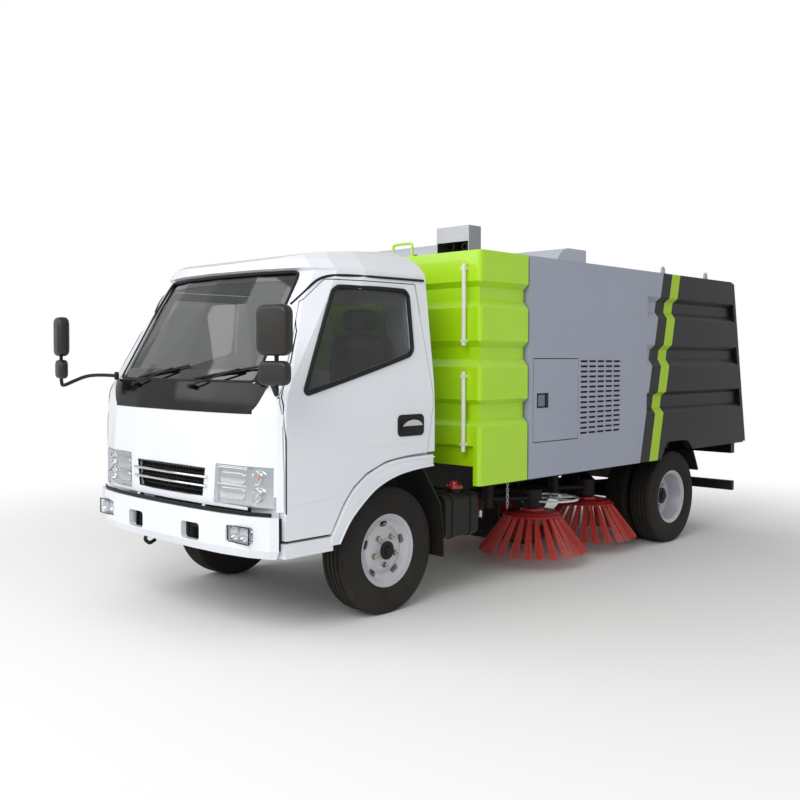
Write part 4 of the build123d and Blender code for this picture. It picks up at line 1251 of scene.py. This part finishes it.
@dataclass
class CabFace:
    """The grille, the lamps, the bumper's lamps, the wipers and the windscreen's seal."""

    bench: Workbench
    pitch: float = 30.0
    bowl_x: float = 570
    bulb_x: float = 750
    bulb_bowl: float = 0.042
    fog_x: float = 690

    def build(self) -> None:
        """Makes everything on the cab's face."""
        self.grille()
        for side in SIDES:
            self.headlamp(side)
            self.fog_lamp(side)
        self.cowl()
        self.bumper_seal()
        self.windscreen_seal()
        self.wipers()

    def cowl(self) -> None:
        """Lays the gloss black moulding under the windscreen, with round lower corners."""
        rows = [
            (1237, 640), (1241, 668), (1249, 694), (1262, 716), (1282, 736), (1310, 755), (1345, 773),
            (1380, 788), (1404, 797),
        ]
        sheet = self.bench.face_sheet(
            ["cab_shell", "cowl_panel", "door_left", "door_right"], rows, 36, 0.002, 0.003,
        )
        self.bench.done(sheet, "cowl_moulding", "gloss_black", "cab", "gloss_black", 50)

    def bumper_seal(self) -> None:
        """Lays a black strip along the bumper's top edge, inside its outline."""
        run = [
            (-868, -914), (-850, -925), (-735, -971), (-540, -1005), (-290, -1024), (0, -1030), (290, -1024),
            (540, -1005), (735, -971), (850, -925), (868, -914),
        ]
        front = [at(x, y - 3, 694.4) for x, y in run]
        strip = self.bench.plate(
            front + [p + Vector((0, 0.004, 0)) for p in reversed(front)], Vector((0, 0, 0.021)),
        )
        self.bench.done(strip, "bumper_top_seal", "black_trim", "chassis", "gloss_black")

    def face_y(self, x: float) -> float:
        """Returns how far forward the grille's plane lies at x, in millimetres."""
        return -990 + 14 * (x / 357) ** 2

    def grille(self) -> None:
        """Makes a honeycomb behind two plated bars."""
        parts = [self.bench.block(at(-356, -952, 760), at(356, -944, 925), 0.001)]
        cell = self.hexagon()
        for row in range(7):
            for col in range(-12, 13):
                x, z = col * self.pitch + (self.pitch / 2 if row % 2 else 0), 776 + row * self.pitch * 0.82
                if abs(x) < 326 + (z - 762) * 0.13 and z < 916:
                    parts.append(self.bench.copy(cell, Matrix.Translation(at(x, self.face_y(x) + 16, z))))
        bpy.data.objects.remove(cell)
        comb = self.bench.done(parts, "grille_honeycomb", "black_trim", "cab", "gloss_black")
        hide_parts("grille")
        outline = (
            (-352, 918), (-180, 919), (0, 919), (180, 919), (352, 918), (331, 766), (170, 765), (0, 765),
            (-170, 765), (-331, 766),
        )
        rim = [at(x, self.face_y(x) - 1, z) for x, z in outline]
        self.bench.done(
            self.bench.tube(rim, 0.006, closed=True, smooth=False), "grille_rim", "gloss_black", "cab",
            "gloss_black",
        )
        bars = []
        for z, reach in ((872, 384), (822, 376)):
            run = []
            for x in (-reach, -reach * 0.5, 0, reach * 0.5, reach):
                wall = self.bench.met(["cab_shell"], x, 936)
                run.append(at(x, (wall.y - AXLE_Y) * 1000 - 7, z))
            bars.append(self.bench.tube(run, 0.0085))
        self.bench.done(bars, "grille_bars", "chrome_plate", "cab", "gloss_black")

    def hexagon(self) -> Piece:
        """Makes one six-sided cell wall about the origin, its depth along Y.

        Returns:
            The cell.
        """
        turns = [math.radians(60 * i) for i in range(6)]
        outer = [Vector((math.sin(turn) * 0.0172, 0, math.cos(turn) * 0.0172)) for turn in turns]
        inner = [p * 0.74 for p in outer]
        parts = []
        for i in range(6):
            j = (i + 1) % 6
            parts.append(self.bench.plate([outer[i], outer[j], inner[j], inner[i]], Vector((0, 0.022, 0))))
        return self.bench.join(parts)

    def headlamp(self, side: Side) -> None:
        """Makes a lamp: a moulded housing with bowls and bulbs behind a clear cover.

        Args:
            side: The truck's left or right side.
        """
        cover = self.bench.solid_copy("headlamps")
        self.trim_faces(cover, lambda c, n: c.x * side.sign > 0 and n.y < -0.35)
        back = self.bench.copy(cover, Matrix.Translation((0, 0.026, 0)))
        self.bench.modify(cover, "SOLIDIFY", thickness=0.003, offset=-1)
        lens = self.bench.done(cover, f"headlamp_cover_{side.tag}", "lamp_lens", "cab", "lamp_clear", 50)
        if side.sign > 0:
            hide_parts("headlamps")
        self.bench.modify(back, "SOLIDIFY", thickness=0.004, offset=-1)
        self.bench.done(back, f"headlamp_back_{side.tag}", "lamp_reflector", "cab", "lamp_clear", 50)
        lean = Matrix.Rotation(math.radians(9 * side.sign), 4, "Z")
        parts, amber, clear = [], [], []
        for z in (796, 880):
            hit = self.bench.met(["headlamps"], side.sign * self.bowl_x, z)
            parts.append(
                self.bench.pebble(
                    0.190, 0.070, 0.016, 0.026, 0.007, Matrix.Translation(hit + BACKWARD * 0.018) @ lean,
                )
            )
        r = self.bulb_bowl
        for z, bulbs in ((798, clear), (893, amber)):
            hit = self.bench.met(["headlamps"], side.sign * self.bulb_x, z)
            front = (hit.y - AXLE_Y) * 1000 if hit else -975
            section = [
                (r, 0.006), (r - 0.003, 0.004), (r / 1.4, 0.024), (r / 3, 0.032), (r / 3.2, 0.036),
                (r / 1.3, 0.028), (r, 0.010),
            ]
            parts.append(self.bench.lathe(section, side.at(self.bulb_x, front + 3, z), BACKWARD, 40))
            near, far = (side.at(self.bulb_x, front + depth, z) for depth in (14, 30))
            bulbs.append(self.bench.rod(near, far, 0.010, 16, 0.004))
        for z in (846, 938, 946):
            hits = (self.bench.met(["headlamps"], side.sign * x, z) for x in (460, 520, 580, 640, 700))
            run = [hit + BACKWARD * 0.006 for hit in hits if hit]
            if len(run) > 2:
                parts.append(self.bench.tube(run, 0.0035))
        for name, pieces, finish in (
            ("bowls", parts, "chrome_plate"), ("amber", amber, "amber_lens"), ("bulbs", clear, "cream_gauge"),
        ):
            self.bench.done(pieces, f"headlamp_{name}_{side.tag}", finish, "cab", "lamp_clear")

    def trim_faces(self, piece: Piece, keep: Callable[[Vector, Vector], bool]) -> None:
        """Deletes the faces that a test doesn't keep.

        Args:
            piece: The mesh.
            keep: A test of a face's centre and normal.
        """
        self.bench.pick(piece)
        bpy.ops.object.mode_set(mode="EDIT")
        bpy.ops.mesh.select_mode(type="FACE")
        bpy.ops.mesh.select_all(action="DESELECT")
        bpy.ops.object.mode_set(mode="OBJECT")
        for face in piece.data.polygons:
            face.select = not keep(face.center, face.normal)
        bpy.ops.object.mode_set(mode="EDIT")
        bpy.ops.mesh.delete(type="FACE")
        bpy.ops.mesh.select_mode(type="VERT")
        bpy.ops.object.mode_set(mode="OBJECT")

    def fog_lamp(self, side: Side) -> None:
        """Makes a bumper lamp: a rimmed bowl behind a flat cover.

        Args:
            side: The truck's left or right side.
        """
        middle = side.sign * self.fog_x
        bowls = [self.bench.block(at(middle - 93, -972, 546), at(middle + 93, -955, 634), 0.003)]
        for x in (648, 732):
            section = [
                (0.040, -0.018), (0.036, -0.019), (0.026, -0.004), (0.008, 0.002), (0.008, 0.008),
                (0.040, 0.008),
            ]
            bowls.append(self.bench.lathe(section, side.at(x, -975, 590), BACKWARD, 32))
        body = self.bench.done(bowls, f"fog_lamp_bowls_{side.tag}", "lamp_reflector", "chassis", "lamp_clear")
        if side.sign > 0:
            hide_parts("fog_lamps")
        cover = self.bench.block(at(middle - 93, -1000, 546), at(middle + 93, -996, 634), 0.0015)
        self.bench.done(cover, f"fog_lamp_cover_{side.tag}", "lamp_lens", "chassis", "lamp_clear")
        rim = [at(middle + x, -1001, z) for x, z in ((-94, 545), (94, 545), (94, 635), (-94, 635))]
        self.bench.done(
            self.bench.tube(rim, 0.004, closed=True, smooth=False), f"fog_lamp_rim_{side.tag}", "black_trim",
            "chassis", "gloss_black",
        )

    def ring_on_face(self, corners: list[Flat], step: float, lift: float) -> list[Vector]:
        """Walks round a front-view outline and lays it on the cab's face.

        Args:
            corners: The outline as across and up, in millimetres.
            step: The spacing of the places.
            lift: How far in front of the surface they lie, in metres.

        Returns:
            The places.
        """
        places = []
        for (x0, z0), (x1, z1) in zip(corners, corners[1:] + corners[:1]):
            count = max(1, int(math.hypot(x1 - x0, z1 - z0) / step))
            for i in range(count):
                x, z = x0 + (x1 - x0) * i / count, z0 + (z1 - z0) * i / count
                hit = self.bench.met(["cab_shell", "cowl_panel"], x, z)
                if hit:
                    places.append(hit + Vector((0, -lift, 0)))
        return places

    def windscreen_seal(self) -> None:
        """Runs a rubber seal round the windscreen."""
        corners = [
            (-692, 1410), (692, 1410), (699, 1440), (655, 2005), (636, 2034), (-636, 2034), (-655, 2005),
            (-699, 1440),
        ]
        ring = self.ring_on_face(corners, 90, 0.001)
        self.bench.done(
            self.bench.tube(ring, 0.009, closed=True), "windscreen_seal", "black_trim", "cab", "gloss_black",
        )

    def wipers(self) -> None:
        """Lays two wipers on the glass."""
        ground = ["cab_shell", "cowl_panel", "cab_glass"]
        for tag, pivot, tip in (("left", (190, 1375), (560, 1475)), ("right", (-440, 1375), (-60, 1475))):
            (x0, z0), (x1, z1) = pivot, tip
            arm = [(x0 + (x1 - x0) * share, z0 + (z1 - z0) * share) for share in (0, 0.2, 0.4, 0.6, 0.8, 1.0)]
            rubber = [
                (x1 - 120 + share * 420, z1 - 20 + share * 60) for share in (-0.62, -0.3, 0.0, 0.3, 0.62)
            ]
            run = [self.bench.met(ground, x, z) + Vector((0, -0.030, 0.006)) for x, z in arm]
            blade = [self.bench.met(ground, x, z) + Vector((0, -0.012, 0.004)) for x, z in rubber]
            parts = [self.bench.tube(run, 0.0055), self.bench.tube(blade, 0.0065)]
            foot = run[0] + Vector((0, 0.030, -0.006))
            parts.append(self.bench.rod(foot, run[0] + Vector((0, -0.008, 0)), 0.014, 16, 0.002))
            parts.append(self.bench.rod(run[-1], blade[2], 0.005, 10, 0.001))
            self.bench.done(parts, f"wiper_{tag}", "black_trim", "cab", "gloss_black")


@dataclass
class CabSides:
    """What the doors and the cab's flanks carry: seals, handles, mirrors and step treads."""

    bench: Workbench
    window: tuple[Flat, ...] = ((-424, 1940), (134, 1944), (133, 1570), (-729, 1345))

    def build(self) -> None:
        """Dresses both flanks."""
        for side in SIDES:
            self.window_seal(side)
            self.handle(side)
            self.step_tread(side)
            self.flare(side)
            self.drip_rail(side)
            self.creases(side)
            self.door_gap_shade(side)
        self.mirrors()

    def door_gap_shade(self, side: Side) -> None:
        """Lays painted shade, as black strips, in the gap along the door's front edge and behind the bumper's
        end.

        Args:
            side: The truck's left or right side.
        """
        edge = (
            (-863, 712), (-863, 900), (-863, 1100), (-863, 1290), (-862, 1336), (-770, 1522), (-690, 1690),
            (-618, 1852), (-530, 1932), (-466, 1988),
        )
        run = self.bench.flank_run(["cab_shell", f"door_{side.tag}"], side, edge, -0.001)
        strip = self.bench.slab(side, (800, 896), (-879, -866), (510, 686), 0.001)
        # Black tube along the door seam and black slab behind the bumper's end: painted shade in the gaps.
        line = self.bench.tube(run, 0.0042, smooth=False)
        self.bench.done([line, strip], f"door_gap_shade_{side.tag}", "black_trim", "cab", "gloss_black")

    def smooth_run(self, points: tuple[Flat, ...], steps: int = 6) -> list[Flat]:
        """Runs a smooth line through side-view places.

        Args:
            points: The places, along and up.
            steps: How many places each stretch gets.

        Returns:
            The denser line.
        """
        run = []
        for i in range(len(points) - 1):
            p0, p1, p2 = (Vector(points[max(i - 1, 0)]), Vector(points[i]), Vector(points[i + 1]))
            p3 = Vector(points[min(i + 2, len(points) - 1)])
            for step in range(steps):
                t = step / steps
                bend, twist = 2 * p0 - 5 * p1 + 4 * p2 - p3, 3 * p1 - p0 - 3 * p2 + p3
                p = 0.5 * (2 * p1 + (p2 - p0) * t + bend * t**2 + twist * t**3)
                run.append((p.x, p.y))
        return run + [points[-1]]

    def flare(self, side: Side) -> None:
        """Lays the smooth pressed band and its rolled lip round the front wheel's arch.

        Args:
            side: The truck's left or right side.
        """
        arch = (
            (-550, 500), (-548, 545), (-505, 612), (-440, 719), (-364, 804), (-262, 871), (-110, 927),
            (60, 946), (300, 951),
        )
        opening = (
            (-484, 500), (-410, 610), (-330, 688), (-226, 767), (-150, 806), (-70, 835), (30, 858),
            (160, 874), (300, 882),
        )
        outer, inner = self.smooth_run(arch), self.smooth_run(opening)
        band = self.bench.plate(
            [side.at(929, y, z) for y, z in outer + inner[::-1]], side.outward * 0.006, 0.0025,
        )
        lip = self.bench.tube([side.at(933, y, z + 2) for y, z in inner], 0.0065, smooth=False)
        ridge = self.bench.tube([side.at(934, y + 10, z - 16) for y, z in outer[4:]], 0.004, smooth=False)
        self.bench.done(
            [band, lip, ridge], f"arch_flare_{side.tag}", "white_cab_enamel", "cab", "cab_white", 40,
        )

    def drip_rail(self, side: Side) -> None:
        """Runs the black rain gutter above the door.

        Args:
            side: The truck's left or right side.
        """
        gutter = (
            (-640, 1842), (-585, 1905), (-530, 1962), (-480, 1996), (-420, 2012), (-300, 2016), (-100, 2017),
            (100, 2018), (290, 2019),
        )
        run = self.bench.flank_run(["cab_shell"], side, gutter, 0.0045)
        self.bench.done(
            self.bench.tube(run, 0.0075), f"drip_rail_{side.tag}", "black_trim", "cab", "gloss_black",
        )

    def creases(self, side: Side) -> None:
        """Raises the two soft creases that are pressed in the door.

        Args:
            side: The truck's left or right side.
        """
        parts = []
        for y0, y1, z0, z1 in ((-620, 190, 1016, 1040), (-850, -470, 752, 778)):
            run = [
                side.at(925 if i in (0, 4) else 926.5, y0 + (y1 - y0) * i / 4, z0 + (z1 - z0) * i / 4)
                for i in range(5)
            ]
            parts.append(self.bench.tube(run, 0.0055))
        self.bench.done(
            parts, f"door_creases_{side.tag}", "white_cab_enamel", f"cab_door_{side.tag}", "cab_white", 50,
        )

    def rounded(self, corners: tuple[Flat, ...], radius: float) -> list[Flat]:
        """Rounds an outline's corners.

        Args:
            corners: The outline's corners in millimetres.
            radius: How far from each corner the round starts.

        Returns:
            The denser outline.
        """
        path: list[Flat] = []
        count = len(corners)
        for i, (y, z) in enumerate(corners):
            before, after = Vector(corners[i - 1]), Vector(corners[(i + 1) % count])
            here = Vector((y, z))
            a, b = here + (before - here).normalized() * radius, here + (after - here).normalized() * radius
            for t in (0, 0.25, 0.5, 0.75, 1.0):
                p = a * (1 - t) ** 2 + here * 2 * t * (1 - t) + b * t**2
                path.append((p.x, p.y))
        return path

    def window_seal(self, side: Side) -> None:
        """Frames the door's window in rubber.

        Args:
            side: The truck's left or right side.
        """
        outline = self.rounded(self.window, 45)
        middle = Vector((sum(p[0] for p in outline), sum(p[1] for p in outline))) / len(outline)
        run = []
        for i, (y, z) in enumerate(outline):
            y1, z1 = outline[(i + 1) % len(outline)]
            for t in (0, 0.5) if math.hypot(y1 - y, z1 - z) > 150 else (0,):
                p = Vector((y + (y1 - y) * t, z + (z1 - z) * t))
                run.append(tuple(p + (p - middle).normalized() * 9))
        ring = self.bench.flank_run([f"door_{side.tag}", "cab_shell"], side, run, 0.002)
        self.bench.done(
            self.bench.tube(ring, 0.013, closed=True), f"window_seal_{side.tag}", "black_trim",
            f"cab_door_{side.tag}", "gloss_black",
        )

    def handle(self, side: Side) -> None:
        """Makes the pull handle in its black dish.

        Args:
            side: The truck's left or right side.
        """
        turn = Matrix.Rotation(math.radians(90), 4, "Z")
        dish = self.bench.pebble(
            0.228, 0.130, 0.014, 0.030, 0.005, Matrix.Translation(side.at(930, 99, 1140)) @ turn,
        )
        self.bench.done(dish, f"handle_dish_{side.tag}", "black_trim", f"cab_door_{side.tag}", "gloss_black")
        well = self.bench.pebble(
            0.184, 0.086, 0.006, 0.020, 0.002, Matrix.Translation(side.at(937, 99, 1138)) @ turn,
        )
        self.bench.done(well, f"handle_well_{side.tag}", "gloss_black", f"cab_door_{side.tag}", "gloss_black")
        leaf = [
            (14, 1137), (34, 1156), (64, 1169), (104, 1175), (144, 1170), (172, 1158), (186, 1144),
            (186, 1137),
        ]
        lever = self.bench.plate([side.at(939, y, z) for y, z in leaf], side.outward * 0.009, 0.003)
        self.bench.done(
            lever, f"handle_lever_{side.tag}", "chrome_plate", f"cab_door_{side.tag}", "gloss_black",
        )

    def step_tread(self, side: Side) -> None:
        """Lays a perforated stainless tread on the step.

        Args:
            side: The truck's left or right side.
        """
        parts = [self.bench.slab(side, (660, 931), (-852, -548), (551, 556), 0.001)]
        for i in range(12):
            y = -838 + i * 25
            parts.append(self.bench.slab(side, (670, 926), (y, y + 10), (555.5, 559.5), 0.001))
        self.bench.done(parts, f"step_tread_{side.tag}", "brushed_stainless", "cab", "stainless")

    def mirrors(self) -> None:
        """Makes the mirror arms and heads, in place of the plain ones."""
        first = None
        for side in SIDES:
            arm = [
                side.at(x, y, z)
                for x, y, z in (
                    (745, -903, 1424), (800, -925, 1428), (900, -972, 1428), (978, -1002, 1418),
                    (1070, -1052, 1378), (1124, -1084, 1352), (1131, -1089, 1380), (1131, -1089, 1450),
                    (1131, -1088, 1640),
                )
            ]
            tube = self.bench.done(
                self.bench.tube(arm, 0.0115), f"mirror_arm_{side.tag}", "black_trim", "cab", "mirror_black",
            )
            base = self.bench.rod(side.at(745, -890, 1424), side.at(752, -912, 1424), 0.026, 20, 0.004)
            self.bench.done(base, f"mirror_foot_{side.tag}", "black_trim", "cab", "mirror_black")
            lean = Matrix.Rotation(math.radians(18 * side.sign), 4, "Z")
            top, low = (Matrix.Translation(side.at(1120, -1092, z)) @ lean for z in (1679, 1465))
            for name, size, place in (
                ("head", (0.190, 0.256, 0.078, 0.046, 0.026), top),
                ("small", (0.176, 0.124, 0.062, 0.038, 0.022), low),
            ):
                self.bench.done(
                    self.bench.pebble(*size, place), f"mirror_{name}_{side.tag}", "mirror_shell", "cab",
                    "mirror_black", 40,
                )
            glass = self.bench.pebble(
                0.150, 0.216, 0.004, 0.034, 0.0015, top @ Matrix.Translation((0, 0.039, 0)),
            )
            self.bench.done(glass, f"mirror_glass_{side.tag}", "mirror_silvering", "cab", "mirror_black")
            first = first or tube
        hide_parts("mirrors")


@dataclass
class BodyTrim:
    """Latches, louvre shadows, roof handle and intake fittings on the tank and the hopper."""

    bench: Workbench
    louvre_pitch: Flat = (112, 37.2)

    def build(self) -> None:
        """Dresses the bodywork."""
        for side in SIDES:
            self.latch(side)
            self.louvres(side)
        self.roof()

    def latch(self, side: Side) -> None:
        """Makes the black paddle latch of a service door.

        Args:
            side: The truck's left or right side.
        """
        turn = Matrix.Rotation(math.radians(90), 4, "Z")
        frame = []
        for y0, y1, z0, z1 in (
            (1285, 1416, 1203, 1213), (1285, 1416, 1294, 1304), (1285, 1295, 1203, 1304),
            (1376, 1416, 1203, 1304),
        ):
            frame.append(self.bench.slab(side, (988, 1003), (y0, y1), (z0, z1), 0.002))
        self.bench.done(frame, f"latch_frame_{side.tag}", "gloss_black", f"service_{side.tag}", "gloss_black")
        paddle = self.bench.pebble(
            0.076, 0.078, 0.008, 0.006, 0.003, Matrix.Translation(side.at(999, 1336, 1253)) @ turn,
        )
        key = self.bench.rod(side.at(1001, 1334, 1262), side.at(1006, 1334, 1262), 0.008, 20, 0.0012)
        self.bench.done(
            [paddle, key], f"latch_paddle_{side.tag}", "machinery_grey", f"service_{side.tag}", "stainless",
        )

    def louvres(self, side: Side) -> None:
        """Puts painted shadow in the louvre slots, as thin black blocks at their bottom, and gives each a
        turned-out lip.

        Args:
            side: The truck's left or right side.
        """
        shade, lips = [], []
        # Thin black block at each slot's bottom: painted shadow in the recess.
        slot = self.bench.slab(side, (986.5, 990), (-46, 46), (-8, 8), 0)
        lip = self.bench.slab(side, (998, 1004), (-48, 48), (8, 11), 0.001, 1)
        for col in range(5):
            for row in range(15):
                y, z = 2090 + (col - 2) * self.louvre_pitch[0], 1263.4 + (row - 7) * self.louvre_pitch[1]
                move = Matrix.Translation((0, y / 1000, z / 1000))
                shade.append(self.bench.copy(slot, move))
                lips.append(self.bench.copy(lip, move))
        for spare in (slot, lip):
            bpy.data.objects.remove(spare)
        self.bench.done(shade, f"louvre_shadows_{side.tag}", "black_trim", "hopper", "gloss_black")
        self.bench.done(lips, f"louvre_lips_{side.tag}", "grey_roof_enamel", "hopper", "body_grey")

    def roof(self) -> None:
        """Adds the tank's grab loop and cap, the intake's dark pipe and post, and a black back wall inside
        the intake that is painted shade.
        """
        loop = [
            at(x, 730, z)
            for x, z in (
                (166, 2232), (166, 2300), (168, 2326), (190, 2331), (257, 2332), (324, 2331), (346, 2326),
                (348, 2300), (348, 2232),
            )
        ]
        self.bench.done(self.bench.tube(loop, 0.009), "tank_grab_loop", "lime_enamel", "chassis", "tank_lime")
        cap = self.bench.rod(at(380, 730, 2234), at(380, 730, 2250), 0.012, 20, 0.002)
        self.bench.done(cap, "tank_vent_cap", "black_trim", "chassis", "gloss_black")
        section = [(0.018, 0.0), (0.026, 0.0), (0.028, 0.004), (0.026, 0.095), (0.018, 0.095)]
        pipe = self.bench.lathe(section, at(775, 778, 2277), BACKWARD, 36)
        post = self.bench.block(at(683, 768, 2242), at(690, 872, 2311), 0.001)
        # Black back wall inside the intake: painted shade; the pipe and the post are real parts.
        back = self.bench.block(at(552, 868, 2242), at(818, 875, 2311), 0.001)
        self.bench.done([pipe, post, back], "intake_pipe_and_painted_shade", "black_trim", "chassis", "gloss_black")


@dataclass
class Underside:
    """The fuel cap, the ring guards and a chain under the body."""

    bench: Workbench
    link: float = 0.0075
    guard: Flat = (600, 2006)

    def build(self) -> None:
        """Makes every piece under the body."""
        self.fuel_cap()
        for side in SIDES:
            self.ring_guard(side)
        self.chain()

    def fuel_cap(self) -> None:
        """Makes the red fuel cap with its grip."""
        section = [
            (0.001, 0.0), (0.056, 0.0), (0.056, 0.016), (0.050, 0.024), (0.030, 0.026), (0.026, 0.040),
            (0.001, 0.042),
        ]
        cap = self.bench.lathe(section, at(800, 655, 697), UPWARD, 40)
        grip = self.bench.block(at(776, 649, 720), at(824, 661, 744), 0.004, 3)
        self.bench.done([cap, grip], "fuel_cap", "red_lens", "chassis", "red_plastic")

    def ring_guard(self, side: Side) -> None:
        """Makes the white ring guard over a front brush, with its spokes.

        Args:
            side: The truck's left or right side.
        """
        section = [
            (0.2105, -0.0015), (0.2295, -0.0015), (0.2315, 0.006), (0.2295, 0.0135), (0.2105, 0.0135),
            (0.2085, 0.006),
        ]
        parts = [self.bench.lathe(section, side.at(*self.guard, 466), UPWARD, 64)]
        for turn in range(3):
            angle = math.radians(60 * turn)
            way = Vector((math.cos(angle), math.sin(angle), 0)) * 0.216
            middle = side.at(*self.guard, 472)
            parts.append(self.bench.rod(middle - way, middle + way, 0.0075, 12, 0.001))
        self.bench.done(
            parts, f"ring_guard_{side.tag}", "white_cab_enamel", f"sweep_arm_front_{side.tag}", "cab_white",
        )

    def chain(self) -> None:
        """Hangs a short zinc chain from the skirt."""
        ring = []
        for turn in range(12):
            angle = 2 * math.pi * turn / 12
            across, up = self.link * math.cos(angle), self.link * math.sin(angle)
            ring.append(Vector((across, 0, up + (self.link if up >= 0 else -self.link))))
        link = self.bench.tube(ring, 0.0026, closed=True, smooth=False, sides=2)
        parts = []
        for i in range(8):
            turn = Matrix.Rotation(math.radians(90 * (i % 2) + 20), 4, "Z")
            parts.append(self.bench.copy(link, Matrix.Translation(at(962, 1010, 708 - i * 22)) @ turn))
        bpy.data.objects.remove(link)
        hook = self.bench.rod(at(962, 1010, 712), at(962, 1010, 724), 0.003, 10, 0)
        self.bench.done(parts + [hook], "hanging_chain", "brushed_stainless", "chassis", "stainless")


@dataclass
class Cabin:
    """Seats with headrests, in place of the plain ones."""

    bench: Workbench
    seat_x: float = 415

    def build(self) -> None:
        """Makes both seats."""
        first = None
        for side in SIDES:
            middle = side.sign * self.seat_x
            parts = [
                self.bench.cushion(
                    at(middle - 272, -262, 1008), at(middle + 272, 194, 1272), (-0.55, 0.55), 7.0,
                ),
                self.bench.cushion(at(middle - 256, 112, 1234), at(middle + 256, 230, 1696), (-0.55, 0.55)),
                self.bench.cushion(at(middle - 134, 122, 1710), at(middle + 134, 218, 1856), (), 4.0),
            ]
            posts = ((at(middle + x, 170, 1680), at(middle + x, 170, 1730)) for x in (-60, 60))
            parts += [self.bench.rod(foot, head, 0.007, 12, 0) for foot, head in posts]
            seat = self.bench.done(parts, f"seat_{side.tag}", "seat_cloth", "cab", "seat_fabric", 60)
            first = first or seat
        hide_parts("seats")


def main() -> None:
    """Builds the scene in order and reports each piece."""
    logging.basicConfig(level=logging.INFO, format="%(name)s: %(message)s")
    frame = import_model()
    paints = Paintbox()
    Stage().build()
    CarriedSolids(paints, frame["nodes"]).build()
    bench = Workbench(paints, frame)
    RoadWheels(bench).build()
    SweepingBrushes(bench).build()
    CabFace(bench).build()
    CabSides(bench).build()
    BodyTrim(bench).build()
    Underside(bench).build()
    Cabin(bench).build()
    bpy.context.view_layer.update()


if __name__ == "__main__":
    main()
